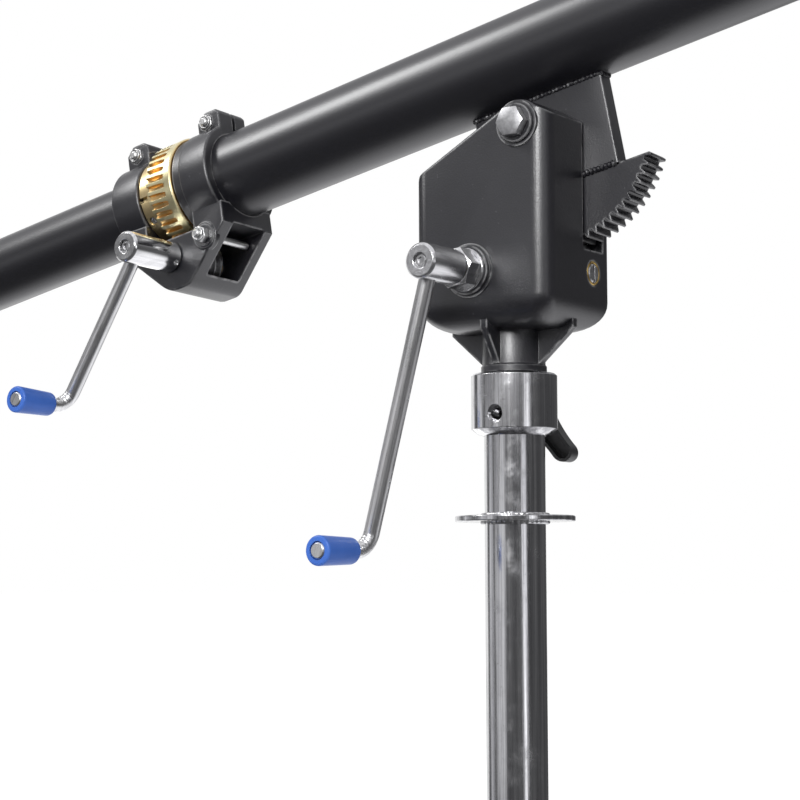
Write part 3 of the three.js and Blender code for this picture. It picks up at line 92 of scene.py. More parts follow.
BOOM_TUBE = {"radius": 30.0, "wall": 3.0, "front": -268.5, "rear": 600.0}
FRONT_TUBE = {"radius": 25.4, "wall": 3.0, "front": -900.0, "rear": -120.0}
SADDLE = BOOM_TUBE["radius"] + SEAT
PLATE = {"left": -38.0, "right": 57.0, "front": -5.5, "thick": 12.0, "top": -15.0, "sleeve": 12.0, "bush": 8.0}
SECTOR = {"module": 1.9, "teeth": 72, "thick": 20.0, "below": 30.7, "tip": 0.8, "root": 1.25, "backlash": 0.45,
          "half_angle": math.radians(64), "phase": 0.68, "bevel": 0.35}
PRESSURE_ANGLE = math.radians(20)
TILT_WORM = {"module": 1.9, "pitch": 18.9, "tip": 20.42, "root": 16.715, "backlash": 0.45, "length": 24,
             "crest": math.radians(25.2)}
TURN_WORM = {"module": 2.0, "pitch": 13.9, "tip": 15.7, "root": 11.9, "backlash": 0.5, "length": 25, "crest": 0}
WHEEL = {"teeth": 37, "bore": 25.6, "rim": 38.5, "hub": 32.0, "hub_low": -304.7, "low": -291.5, "high": -269.0,
         "gash_deep": 16.3, "gash_shallow": 10.1, "gash_half": 1.95, "gash_slope": math.radians(8),
         "screw_s": -299.5, "screw_angle": math.radians(36.8), "notch_s": -297.2, "notch_angle": math.radians(7.3)}
CASTING = {"front": -28.0, "back": 26.0, "worm_s": -285.5, "worm_n": -51.0, "floor": -75.2}
EARS = {"left": {"from": -325.5, "to": -304.5, "top_from": -319.0, "top_to": -309.0, "top": 46.0, "s": -316.5,
                 "n": 38.0},
        "right": {"from": -257.0, "to": -237.0, "top_from": -249.5, "top_to": -239.5, "top": 48.0, "s": -248.5,
                  "n": 40.2}}
EAR_FRONT, EAR_BACK = -16, 13
NUT_SEAT = -11.8
LOCK = {"s": -252.5, "n": -45.0, "boss": 8.1, "height": 1.5, "radius": 2.8}
LOCK_NUT = {"flats": 10, "height": 5, "collar": 4.7, "collar_height": 1.8}
SOCKET = {"radius": 22.0, "half": 34.0, "bore": 14.6, "mouth": 16.2, "screw": 5.2, "web": 14.0, "shoulder": 26.8,
          "stand_off": 8.0}
WEIGHT_RING = {"from_end": 40.0, "centre": -52.0, "radius": 16.0, "wire": 4.0, "pad_half": 11.0, "pad_depth": 6.0}
TUBE_BUSH = {"bore": 25.6, "radius": 26.8, "length": 28.0}

# Where each assembly stands.
TILT, ROLL = math.radians(11.54), math.radians(-2.7)
FLANGE_LEVEL, BOOM_LEVEL, BOOM_Y = 250.0, 291.1, 10.0
BOOM_AXIS = (0, BOOM_Y / 1000, (FLANGE_LEVEL + BOOM_LEVEL) / 1000)
MAST = Matrix.Translation((0, 0, FLANGE_LEVEL / 1000)) @ Matrix.Scale(0.001, 4)
BOOM = Matrix.Translation(BOOM_AXIS) @ Matrix.Rotation(-TILT, 4, "Y") @ Matrix.Scale(0.001, 4)
BRACKET = BOOM @ Matrix.Rotation(ROLL, 4, "X")
TILT_FRAME = shifted(MAST, CRANK_X, -HEAD["half_y"] - TILT_CRANK["front"] + TILT_CRANK["behind"], WORM_Z)
TURN_FRAME = shifted(BRACKET, CASTING["worm_s"], CASTING["front"] - TURN_CRANK["front"] + TURN_CRANK["behind"],
                     CASTING["worm_n"])
PITCH_R = SECTOR["module"] * SECTOR["teeth"] / 2
PIVOT_S = PIVOT["x"] * math.cos(TILT) + (PIVOT["z"] - BOOM_LEVEL) * math.sin(TILT)
PIVOT_N = -PIVOT["x"] * math.sin(TILT) + (PIVOT["z"] - BOOM_LEVEL) * math.cos(TILT)
CHORD_N = PIVOT_N - SECTOR["below"]
HEAD_TOP = PIVOT["z"] + HEAD["apex"] + OVER
LEVER_PLACE = Matrix.Translation((0, 0, LEVER["height"])) @ Matrix.Rotation(LEVER["turn"], 4, "Z")


# Materials
class Wire:
    """A socket of a node tree, with Python's arithmetic."""

    def __init__(self, recipe, socket):
        self.recipe, self.socket = recipe, socket

    def math(self, operation, first, second=None):
        inputs = {0: first} if second is None else {0: first, 1: second}
        return self.recipe.node("ShaderNodeMath", {"operation": operation}, inputs)

    def __add__(self, other):
        return self.math("ADD", self, other)

    __radd__ = __add__

    def __sub__(self, other):
        return self.math("SUBTRACT", self, other)

    def __rsub__(self, other):
        return self.math("SUBTRACT", other, self)

    def __mul__(self, other):
        return self.math("MULTIPLY", self, other)

    __rmul__ = __mul__

    def __pow__(self, other):
        return self.math("POWER", self, other)

    def sine(self):
        return self.math("SINE", self)

    def root(self):
        return self.math("SQRT", self)

    def band(self, low, high):
        """0 below low, 1 above high, smooth between."""
        return self.recipe.node("ShaderNodeMapRange", {"interpolation_type": "SMOOTHSTEP", "clamp": True},
                                {"Value": self, "From Min": low, "From Max": high})


class Graph:
    """A node tree written as expressions on wires."""

    def __init__(self, tree, coordinates):
        self.tree = tree
        self.spot = Wire(self, tree.nodes.new("ShaderNodeTexCoord").outputs[coordinates])

    def node(self, kind, settings, inputs, output=0):
        made = self.tree.nodes.new(kind)
        for key, value in settings.items():
            setattr(made, key, value)
        for key, value in inputs.items():
            self.plug(made.inputs[key], value)
        return Wire(self, made.outputs[output])

    def plug(self, socket, value):
        if isinstance(value, Wire):
            self.tree.links.new(value.socket, socket)
        else:
            socket.default_value = value

    def stretched(self, factors, place=None):
        """The spot, or the place given, with each of its axes multiplied."""
        return self.node("ShaderNodeVectorMath", {"operation": "MULTIPLY"}, {0: place or self.spot, 1: factors})

    def turned(self, axis, angle, centre=(0, 0, 0)):
        return self.node("ShaderNodeVectorRotate", {"rotation_type": f"{axis}_AXIS"},
                         {"Vector": self.spot, "Center": centre, "Angle": angle})

    def parts(self, place):
        """The x, y and z of a place."""
        split = self.tree.nodes.new("ShaderNodeSeparateXYZ")
        self.plug(split.inputs[0], place)
        return [Wire(self, socket) for socket in split.outputs]

    def noise(self, scale, place=None, detail=3.0, rough=0.55):
        return self.node("ShaderNodeTexNoise", {},
                         {"Vector": place or self.spot, "Scale": scale, "Detail": detail, "Roughness": rough})

    def blend(self, factor, first, second):
        mixed = self.tree.nodes.new("ShaderNodeMix")
        mixed.data_type = "RGBA"
        for index, value in ((0, factor), (6, first), (7, second)):
            if index and not isinstance(value, Wire):
                value = (*value, 1)
            self.plug(mixed.inputs[index], value)
        return Wire(self, mixed.outputs[2])

    def towards(self, aim):
        """How squarely the spot's direction points at the aim."""
        return self.node("ShaderNodeVectorMath", {"operation": "DOT_PRODUCT"}, {0: self.spot, 1: aim}, "Value")

    def rays(self, *kinds):
        """1 for rays of these kinds, 0 for the others."""
        path = self.tree.nodes.new("ShaderNodeLightPath")
        first, *others = [Wire(self, path.outputs[f"Is {kind} Ray"]) for kind in kinds]
        for other in others:
            first = first.math("MAXIMUM", first, other)
        return first


class Recipe(Graph):
    """One finish."""

    def __init__(self, name, **plain):
        self.material = bpy.data.materials.new(name)
        self.material.use_nodes = True
        super().__init__(self.material.node_tree, "Object")
        self.shader = self.tree.nodes["Principled BSDF"]
        for socket, value in plain.items():
            self.shader.inputs[socket.replace("_", " ")].default_value = value

    def edges(self, reach):
        """Towards 1 on outer edges, 0 on flats."""
        return 1 - self.node("ShaderNodeAmbientOcclusion", {"inside": True, "samples": 4, "only_local": True},
                             {"Distance": reach}, "AO")

    def feed(self, height=None, depth=0.0001, rounded=0.0, **sockets):
        """Plugs the sockets in, with a bump of that depth in metres over edges rounded by that radius."""
        for socket, value in sockets.items():
            self.plug(self.shader.inputs[socket.replace("_", " ")], value)
        normal = None
        if rounded:
            normal = self.node("ShaderNodeBevel", {"samples": 6}, {"Radius": rounded})
        if height is not None:
            inputs = {"Height": height, "Distance": depth, "Strength": 1.0}
            if normal:
                inputs["Normal"] = normal
            normal = self.node("ShaderNodeBump", {}, inputs)
        if normal:
            self.plug(self.shader.inputs["Normal"], normal)
        return self.material


def cast_black():
    """Powder coat over a casting: fine grain, slow waviness, pale dust, rubbed spots, and pale outer edges that are
    partly edge wear and partly a painted highlight.
    """
    r = Recipe("cast_black", Metallic=0.0, IOR=1.9)
    grain = r.noise(900, detail=2)
    slow = r.noise(28, detail=4)
    dust = r.noise(420, detail=1).band(0.735, 0.80)
    rub = r.noise(60, detail=5, rough=0.7).band(0.60, 0.78)
    tone = r.blend(slow, (0.0034, 0.0033, 0.0066), (0.0060, 0.0058, 0.0105))
    tone = r.blend(rub * 0.2, tone, (0.030, 0.030, 0.034))
    tone = r.blend(dust * 0.3, tone, (0.14, 0.14, 0.15))
    # pale outer edges: partly edge wear, partly a painted highlight where the edges catch the light
    edge_wear_and_highlight = r.edges(0.0014).band(0.12, 0.32) * r.noise(110, detail=4).band(0.36, 0.54)
    tone = r.blend(edge_wear_and_highlight, tone, (0.24, 0.24, 0.245))
    return r.feed(Base_Color=tone, Roughness=0.30 + grain * 0.10 + slow * 0.06, height=grain + slow * 2.0,
                  depth=0.00009, rounded=0.0006)


def tube_black():
    """Satin coat on drawn tube: fine orange peel and faint lengthwise brushing."""
    r = Recipe("tube_black", Metallic=0.0, IOR=1.9)
    along = r.turned("Y", TILT, BOOM_AXIS)
    peel = r.noise(700, detail=2)
    drawn = r.noise(1.0, r.stretched((6, 500, 500), along), detail=4)
    haze = r.noise(9, detail=4)
    tone = r.blend(haze, (0.0030, 0.0029, 0.0058), (0.0055, 0.0053, 0.0095))
    return r.feed(Base_Color=tone, Roughness=0.27 + peel * 0.05 + drawn * 0.04 + haze * 0.05,
                  height=peel + drawn * 0.6, depth=0.00003, rounded=0.0006)


def drawn_chrome():
    """Plated tube: upright draw lines that also darken it as painted reflection streaks, broad upright bands of
    painted reflection, cloudy patches and small pits.
    """
    r = Recipe("drawn_chrome", Metallic=1.0)
    lines = r.noise(1.0, r.stretched((900, 900, 9)), detail=5, rough=0.65)
    # painted reflection: broad upright light and dark bands stand in for the studio reflected in the chrome
    wide = r.noise(1.0, r.stretched((210, 210, 4)), detail=3)
    cloud = r.noise(55, detail=5, rough=0.65)
    pits = r.noise(800, detail=1).band(0.70, 0.78)
    tone = r.blend(wide.band(0.35, 0.65), (0.46, 0.46, 0.475), (0.82, 0.82, 0.83))
    # painted reflection streaks: the draw lines darken the chrome's colour as well as roughening it
    tone = r.blend(lines.band(0.45, 0.72) * 0.5, tone, (0.26, 0.255, 0.26))
    tone = r.blend(pits * 0.5, tone, (0.12, 0.12, 0.12))
    rough = 0.10 + cloud.band(0.45, 0.75) * 0.16 + lines * 0.08
    return r.feed(Base_Color=tone, Roughness=rough, height=lines + wide * 0.7 + cloud * 0.4, depth=0.00005,
                  rounded=0.0007)


def worked_steel(name, bright, dark, along, scales, rough, centre=None):
    """Bare steel with marks that run one way, and turning rings on a face about the centre."""
    r = Recipe(name, Metallic=1.0)
    place = r.stretched(scales) if along is None else r.stretched(scales, r.turned(*along))
    marks = r.noise(1.0, place, detail=5, rough=0.6)
    cloud = r.noise(120, detail=4, rough=0.6)
    tone = r.blend(marks.band(0.3, 0.7), dark, bright)
    tone = r.blend(cloud.band(0.5, 0.8) * (0.12 if centre else 0.3), tone, [value * 0.55 for value in bright])
    height = marks + cloud * 0.5
    if centre:
        x, _, z = r.parts(r.spot)
        rings = (((x - centre[0]) ** 2 + (z - centre[1]) ** 2).root() * 7000).sine()
        tone = r.blend(rings.band(0.0, 1.0) * 0.18, tone, [value * 0.6 for value in dark])
        height = height * 0.5 + rings * 0.35
    return r.feed(Base_Color=tone, Roughness=rough + marks * 0.10 + cloud * 0.08, height=height, depth=0.00004,
                  rounded=0.0004)


def machined_brass():
    """Brass: pale turned lands, orange gash floors, turning rings."""
    r = Recipe("machined_brass", Metallic=1.0)
    s, y, n = r.parts(r.turned("Y", TILT, BOOM_AXIS))
    radius = ((y - BOOM_AXIS[1]) ** 2 + (n - BOOM_AXIS[2]) ** 2).root()
    land = radius.band(0.0372, 0.0384)
    hub = 1 - radius.band(0.0318, 0.0330)
    rings = (s * 9000).sine() * 0.5 + 0.5
    stain = r.noise(260, detail=5, rough=0.65)
    tone = r.blend(land, (0.86, 0.58, 0.25), (0.95, 0.86, 0.53))
    tone = r.blend(hub, tone, (0.90, 0.72, 0.40))
    tone = r.blend(stain.band(0.5, 0.8) * 0.45, tone, (0.44, 0.29, 0.12))
    return r.feed(Base_Color=tone, Roughness=0.20 + stain * 0.22, height=rings * 0.5 + stain, depth=0.00004,
                  rounded=0.0004)


def plain_brass():
    """Cast bush brass, a little stained."""
    r = Recipe("plain_brass", Metallic=1.0)
    stain = r.noise(500, detail=4)
    tone = r.blend(stain, (0.50, 0.31, 0.08), (0.80, 0.58, 0.22))
    return r.feed(Base_Color=tone, Roughness=0.22 + stain * 0.2, height=stain, depth=0.00003, rounded=0.0003)


def zinc():
    """Zinc plate: a small spangle with dull spots."""
    r = Recipe("zinc_plate", Metallic=1.0)
    spangle = r.noise(420, detail=4)
    spots = r.noise(1300, detail=2).band(0.62, 0.75)
    tone = r.blend(spangle, (0.60, 0.60, 0.60), (0.90, 0.90, 0.89))
    tone = r.blend(spots * 0.4, tone, (0.24, 0.24, 0.23))
    return r.feed(Base_Color=tone, Roughness=0.26 + spangle * 0.18, height=spangle + spots, depth=0.00005,
                  rounded=0.0005)


def weld_bead():
    """Painted weld: black with bare bright crests and spatter."""
    r = Recipe("weld_bead", Metallic=0.0, IOR=1.5)
    crests = r.noise(520, detail=4, rough=0.6)
    bare = r.noise(260, detail=3).band(0.52, 0.62)
    tone = r.blend(bare, (0.010, 0.0095, 0.013), (0.16, 0.16, 0.165))
    return r.feed(Base_Color=tone, Roughness=0.30 + crests * 0.25, Metallic=bare * 0.8, height=crests, depth=0.0005,
                  rounded=0.0004)


def moulded(name, low, high, rough, density=1.46):
    """Moulded plastic: soft cloud of tone and a fine grain."""
    r = Recipe(name, Metallic=0.0, IOR=density)
    cloud = r.noise(70, detail=3)
    grain = r.noise(1500, detail=2)
    scuff = r.noise(1.0, r.stretched((300, 60, 300)), detail=4).band(0.66, 0.8)
    tone = r.blend(cloud, low, high)
    tone = r.blend(scuff * 0.25, tone, [min(1.0, value * 1.6 + 0.03) for value in high])
    return r.feed(Base_Color=tone, Roughness=rough + grain * 0.1 + scuff * 0.15, height=grain, depth=0.00003,
                  rounded=0.0005)


CAST, TUBE, CHROME, BRASS, BUSH = cast_black(), tube_black(), drawn_chrome(), machined_brass(), plain_brass()
ZINC, WELD = zinc(), weld_bead()
BLUE = moulded("blue_plastic", (0.040, 0.130, 0.520), (0.062, 0.180, 0.640), 0.36)
BLACK_PLASTIC = moulded("black_plastic", (0.012, 0.012, 0.013), (0.020, 0.020, 0.021), 0.38, 1.8)
NYLON = moulded("nylon", (0.62, 0.60, 0.54), (0.72, 0.70, 0.64), 0.5)
EVEN, ROUND_Y, DOWN_ROD = (300, 300, 300), (500, 20, 500), (900, 900, 14)
TILT_CENTRE = (CRANK_X / 1000, (FLANGE_LEVEL + WORM_Z) / 1000)
TURN_CENTRE = (BRACKET @ Vector((CASTING["worm_s"], -80, CASTING["worm_n"]))).xz  # just ahead of the hub
TILT_HUB = worked_steel("tilt_hub_steel", (0.90, 0.90, 0.91), (0.68, 0.68, 0.69), None, ROUND_Y, 0.16, TILT_CENTRE)
TURN_HUB = worked_steel("turn_hub_chrome", (0.97, 0.97, 0.97), (0.78, 0.78, 0.79), None, ROUND_Y, 0.07, TURN_CENTRE)
BOLT = worked_steel("dull_steel", (0.56, 0.56, 0.57), (0.40, 0.40, 0.41), None, EVEN, 0.34)
TILT_ROD = worked_steel("tilt_rod_steel", (0.96, 0.96, 0.96), (0.62, 0.62, 0.625), ("Y", -TILT_CRANK["angle"]),
                        DOWN_ROD, 0.20)
TURN_ROD = worked_steel("turn_rod_steel", (0.96, 0.96, 0.96), (0.62, 0.62, 0.625), ("Y", TILT - TURN_CRANK["angle"]),
                        DOWN_ROD, 0.22)
STEEL = worked_steel("turned_steel", (0.72, 0.72, 0.73), (0.38, 0.38, 0.385), None, EVEN, 0.25)
FINISH = {"satin_black_metal": CAST, "chrome": CHROME, "polished_steel": STEEL, "zinc_steel": ZINC, "brass": BUSH,
          "blue_plastic": BLUE, "black_plastic": BLACK_PLASTIC, "nylon": NYLON}


# Shaping tools
def turned(profile, steps=72, ring=False):
    """A profile of (radius, height) turned about Z; ring closes it on itself."""
    bm = bmesh.new()
    verts = [bm.verts.new((radius, 0, height)) for radius, height in profile]
    pairs = list(zip(verts, verts[1:]))
    if ring:
        pairs.append((verts[-1], verts[0]))
    edges = [bm.edges.new(pair) for pair in pairs]
    bmesh.ops.spin(bm, geom=verts + edges, cent=(0, 0, 0), axis=(0, 0, 1), angle=TURN, steps=steps, use_merge=True)
    bmesh.ops.remove_doubles(bm, verts=bm.verts, dist=1e-4)
    bmesh.ops.recalc_face_normals(bm, faces=bm.faces)
    return bm


def bar(radius, low, high, steps=48):
    return turned([(0, low), (radius, low), (radius, high), (0, high)], steps)


def ring_form(inner, outer, low, high, steps, low_edge=0, high_edge=0):
    """A tube or washer along Z, with its outer rims turned down where an edge is given."""
    foot = [(outer - low_edge, low), (outer, low + low_edge)] if low_edge else [(outer, low)]
    rim = [(outer, high - high_edge), (outer - high_edge, high)] if high_edge else [(outer, high)]
    return turned([(inner, low), *foot, *rim, (inner, high)], steps, ring=True)


def arc(cx, cz, radius, start, end, steps=10):
    """Points on a circle in the X-Z plane, from one angle to another."""
    return [(cx + radius * math.cos(start + (end - start) * i / steps),
             cz + radius * math.sin(start + (end - start) * i / steps)) for i in range(steps + 1)]


def prism(outline, y0, y1):
    """An outline in the X-Z plane, extruded from y0 to y1."""
    bm = bmesh.new()
    face = bm.faces.new([bm.verts.new((x, y0, z)) for x, z in outline])
    grown = bmesh.ops.extrude_face_region(bm, geom=[face])["geom"]
    bmesh.ops.translate(bm, vec=(0, y1 - y0, 0), verts=[v for v in grown if isinstance(v, bmesh.types.BMVert)])
    bmesh.ops.recalc_face_normals(bm, faces=bm.faces)
    return bm


def block(x0, x1, y0, y1, z0, z1):
    bm = bmesh.new()
    bmesh.ops.create_cube(bm, size=1)
    bmesh.ops.scale(bm, vec=(x1 - x0, y1 - y0, z1 - z0), verts=bm.verts)
    bmesh.ops.translate(bm, vec=((x0 + x1) / 2, (y0 + y1) / 2, (z0 + z1) / 2), verts=bm.verts)
    return bm


def put(bm, matrix):
    bmesh.ops.transform(bm, matrix=matrix, verts=bm.verts)
    return bm


def moved(bm, x, y, z):
    bmesh.ops.translate(bm, vec=(x, y, z), verts=bm.verts)
    return bm


def as_object(bm, name):
    mesh = bpy.data.meshes.new(name)
    bm.to_mesh(mesh)
    bm.free()
    made = bpy.data.objects.new(name, mesh)
    bpy.context.scene.collection.objects.link(made)
    return made


def combine(base, *steps):
    """Boolean work: steps are (operation, bmesh) pairs; gives the finished bmesh."""
    body = as_object(base, "work")
    tools = []
    for operation, bm in steps:
        tool = as_object(bm, "tool")
        tools.append(tool)
        change = body.modifiers.new("work", "BOOLEAN")
        change.operation, change.solver, change.object = operation, "MANIFOLD", tool
    bpy.context.view_layer.update()
    done = body.evaluated_get(bpy.context.evaluated_depsgraph_get())
    bm = bmesh.new()
    bm.from_mesh(done.to_mesh())
    done.to_mesh_clear()
    for spare in [body, *tools]:
        mesh = spare.data
        bpy.data.objects.remove(spare)
        bpy.data.meshes.remove(mesh)
    bmesh.ops.remove_doubles(bm, verts=bm.verts, dist=1e-4)
    return bm


def cut(base, *tools):
    return combine(base, *[("DIFFERENCE", tool) for tool in tools])


def add(base, *parts):
    return combine(base, *[("UNION", part) for part in parts])


def common(base, other):
    return combine(base, ("INTERSECT", other))


def piece(name, bm, place, material, *nodes, body=None, sharp=30):
    """Puts a finished form in its place and lets it stand for its CAD nodes."""
    put(bm, place)
    for face in bm.faces:
        face.smooth = True
    made = as_object(bm, name)
    made.data.set_sharp_from_angle(angle=math.radians(sharp))
    made.data.materials.append(material)
    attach(made, body or BODY_OF[nodes[0]])
    if nodes:
        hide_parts(*nodes)
    return made


def six_sided(radius, depth, height):
    """A six-sided bar with its middle at that height."""
    bm = bmesh.new()
    bmesh.ops.create_cone(bm, cap_ends=True, segments=6, radius1=radius, radius2=radius, depth=depth)
    return moved(bm, 0, 0, height)


def hexagon(flats, low, high, turn_down):
    """A hexagon head or nut with its upper corners turned down."""
    corner = flats / math.sqrt(3)
    touch = flats / 2 - 0.3
    drop = (corner + 1 - touch) * math.tan(math.radians(28)) * turn_down
    cone = turned([(0, low - 1), (corner + 1, low), (corner + 1, high - drop), (touch, high), (0, high)])
    return common(six_sided(corner, high - low, (low + high) / 2), cone)


def loft(rings):
    """Closed loops of as many points each, bridged in turn and capped at both ends."""
    bm = bmesh.new()
    loops = []
    for ring in rings:
        verts = [bm.verts.new(point) for point in ring]
        loops.append([bm.edges.new((a, b)) for a, b in zip(verts, verts[1:] + verts[:1])])
    for low, high in zip(loops, loops[1:]):
        bmesh.ops.bridge_loops(bm, edges=low + high)
    bmesh.ops.contextual_create(bm, geom=loops[0])
    bmesh.ops.contextual_create(bm, geom=loops[-1])
    bmesh.ops.recalc_face_normals(bm, faces=bm.faces)
    return bm


def rounded_ring(half_x, half_y, radius, height, steps):
    """A rectangle with round corners, as points on one level."""
    ring = []
    for corner, (sx, sy) in enumerate(((1, 1), (-1, 1), (-1, -1), (1, -1))):
        for i in range(steps + 1):
            angle = (corner + i / steps) * QUARTER
            ring.append((sx * (half_x - radius) + radius * math.cos(angle),
                         sy * (half_y - radius) + radius * math.sin(angle), height))
    return ring


def soften(bm, width, segments=3, chosen=None):
    """Rounds the edges that pass the test, or all sharp ones."""
    test = chosen or (lambda edge: edge.calc_face_angle(0) > math.radians(25))
    edges = [edge for edge in bm.edges if test(edge)]
    bmesh.ops.bevel(bm, geom=edges, offset=width, offset_type="OFFSET", affect="EDGES", segments=segments,
                    profile=0.5, material=-1, clamp_overlap=True)
    return bm


def rim_test(*levels):
    """A test for edges that lie in one of the upright planes across Y."""
    return lambda edge: any(all(abs(vert.co.y - y) < 0.01 for vert in edge.verts) for y in levels)


def extend(bm, edges, matrix):
    """Draws open edges on to a new place and gives back the new ones."""
    grown = bmesh.ops.extrude_edge_only(bm, edges=edges)["geom"]
    verts = [item for item in grown if isinstance(item, bmesh.types.BMVert)]
    bmesh.ops.transform(bm, matrix=matrix, verts=verts)
    return [item for item in grown if isinstance(item, bmesh.types.BMEdge)]


def close(bm):
    """Caps what is open and turns the faces outwards."""
    bmesh.ops.holes_fill(bm, edges=bm.edges, sides=0)
    bmesh.ops.recalc_face_normals(bm, faces=bm.faces)
    return bm


def bead(path, size, ripple=0.22, pitch=1.9, sides=10):
    """A weld bead: a rippled tube along a run of points."""
    points = [Vector(point) for point in path]
    count = max(2, int(sum((b - a).length for a, b in zip(points, points[1:])) / (pitch / 5)))
    spaced = spread(points, count)
    rings = []
    for i, point in enumerate(spaced):
        ahead = (spaced[min(i + 1, count)] - spaced[max(i - 1, 0)]).normalized()
        side = ahead.cross(Vector((0.3, 0.2, 0.93))).normalized()
        over = side.cross(ahead)
        swell = size * (1 + ripple * math.sin(i / 5 * TURN) * (0.7 + 0.3 * math.sin(i * 0.37)))
        rings.append([point + side * (swell * math.cos(a)) + over * (swell * math.sin(a))
                      for a in (TURN * k / sides for k in range(sides))])
    return loft(rings)


def spread(points, count):
    """Points at even steps along a run."""
    lengths = [(b - a).length for a, b in zip(points, points[1:])]
    whole, placed = sum(lengths), []
    for i in range(count + 1):
        left = whole * i / count
        for (a, b), length in zip(zip(points, points[1:]), lengths):
            if left <= length + 1e-9:
                placed.append(a.lerp(b, left / length))
                break
            left -= length
        else:
            placed.append(points[-1].copy())
    return placed


def drill(radius, low, high, x, y, z, heading, steps=48):
    """A round cutting form or boss along a heading."""
    return moved(put(bar(radius, low, high, steps), heading), x, y, z)


# Column
def make_column():
    c = COLUMN
    tube = ring_form(c["radius"] - c["wall"], c["radius"], c["foot"], c["top"], 128, c["edge"])
    piece("column_form", tube, MAST, CHROME, "column_tube")

    f = FLANGE
    hole = c["radius"] + FIT
    inside, thick, edge = hole - 2, f["thick"], f["edge"]
    disc = turned([(inside, -thick), (f["radius"] - edge, -thick), (f["radius"], edge - thick),
                   (f["radius"], -edge), (f["radius"] - edge, 0), (inside, 0)], 160, ring=True)
    beads = [flange_bead(hole + f["bead_out"], level) for level in (-thick - f["bead_off"], f["bead_off"])]
    disc = cut(add(disc, *beads), bar(hole, -4 * OVER, 4 * OVER, 160))
    piece("flange_form", disc, MAST, CHROME, "column_flange")

    k = COLLAR
    bore = SPIGOT["radius"] + SEAT
    body = turned([(hole, k["bottom"] - k["cone"]), (k["radius"] - k["cone"], k["bottom"] - k["cone"] + 1),
                   (k["radius"], k["bottom"]), (k["radius"], k["top"] - k["edge"]),
                   (k["radius"] - k["edge"], k["top"]), (bore + k["edge"], k["top"]), (bore, k["top"] - k["edge"]),
                   (bore, k["seat"]), (hole, k["seat"])], 128, ring=True)
    dimple = turned([(0, 0), (k["dimple"], 0), (k["dimple"], k["radius"] - k["mouth_depth"]),
                     (k["mouth"], k["radius"]), (k["mouth"], k["radius"] + OVER), (0, k["radius"] + OVER)], 48)
    tapped = bar(LEVER["stud"], 0, k["radius"] + OVER)
    for tool, heading in ((dimple, FRONTWARD), (tapped, ALONG_Y)):
        put(tool, LEVER_PLACE @ heading)
    piece("receiver_form", cut(body, dimple, tapped), MAST, CHROME, "receiver_collar")

    s = SPIGOT
    step = s["radius"] - s["groove"]
    groove_top = LEVER["height"] + s["groove_length"] / 2
    pin = turned([(0, k["seat"] + 1), (s["groove"], k["seat"] + 1), (s["groove"], groove_top - step),
                  (s["radius"], groove_top), (s["radius"], s["top"] - s["edge"]),
                  (s["radius"] - s["edge"], s["top"]), (0, s["top"])], 96)
    piece("spigot_form", pin, MAST, STEEL, "head_spigot")


def flange_bead(radius, level):
    """The weld round the column, with the ripples of a hand-led torch on its outer side."""
    ring = turned(arc(radius, level, FLANGE["bead"], 0, TURN, 12)[:-1], 180, ring=True)
    for vert in ring.verts:
        reach, angle = math.hypot(vert.co.x, vert.co.y), math.atan2(vert.co.y, vert.co.x)
        if reach > radius:
            ripple = 0.28 * math.sin(angle * 38) + 0.16 * math.sin(angle * 9 + 1)
            vert.co.xy *= (reach + ripple) / reach
    return ring


def make_lever():
    v = LEVER
    hub_from = COLLAR["radius"] + v["stand_off"]
    arm_from = hub_from + v["hub_length"] - v["depth"]
    shell = handle(0, arm_from, arm_from + v["depth"])
    hollow = handle(v["wall"], arm_from - OVER, arm_from + v["depth"] - v["wall"])
    boss = put(bar(v["hub_top"], hub_from, hub_from + v["hub_length"] - 1), ALONG_Y)
    stud = put(bar(v["stud"], 0, hub_from + v["hub_length"] / 2 + SEAT), ALONG_Y)
    piece("lever_form", cut(add(cut(shell, hollow), boss), stud), MAST @ LEVER_PLACE, BLACK_PLASTIC, "clamp_lever")


def handle(inset, low, high):
    """The lever's waisted arm from low to high, slanted and swept outwards to its tip."""
    v = LEVER
    hub, tip, waist = v["hub"] - inset, v["tip"] - inset, v["waist"] - inset
    shares = [(t, 1 - t) for t in (i / 12 for i in range(1, 12))]
    outline = arc(0, 0, hub, 0, math.pi, 20)
    outline += [(-(b * b * hub + 2 * t * b * waist + t * t * tip), -v["arm"] * (t * b + t * t)) for t, b in shares]
    outline += arc(0, -v["arm"], tip, math.pi, TURN, 20)
    outline += [(b * b * tip + 2 * t * b * waist + t * t * hub, -v["arm"] * (b * b + t * b)) for t, b in shares]
    bm = put(prism(outline, low, high), Matrix.Rotation(-v["slant"], 4, "Y"))
    way = Vector((math.sin(v["slant"]), 0, -math.cos(v["slant"])))
    for vert in bm.verts:
        vert.co.y += max(vert.co.dot(way), 0) / v["arm"] * v["outward"]
    return bm


# Tilt head
def head_outline():
    """The head seen from the front: two slopes that meet in a round apex over the pivot."""
    h, p = HEAD, PIVOT
    left, right = -h["half_x"] - 0.05, h["half_x"] + OVER
    up, down, radius = h["left_slope"], h["right_slope"], h["left_corner"]
    touch_x, touch_z = p["x"] - h["apex"] * math.sin(up), p["z"] + h["apex"] * math.cos(up)
    corner_x = left + radius
    corner_z = touch_z + (corner_x - touch_x) * math.tan(up) - radius / math.cos(up)
    right_z = p["z"] + h["apex"] / math.cos(down) - (right - p["x"]) * math.tan(down)
    return ([(left, h["bottom"] - OVER), (right, h["bottom"] - OVER), (right, right_z)]
            + arc(p["x"], p["z"], h["apex"], QUARTER - down, QUARTER + up, 16)
            + arc(corner_x, corner_z, radius, QUARTER + up, math.pi, 10))


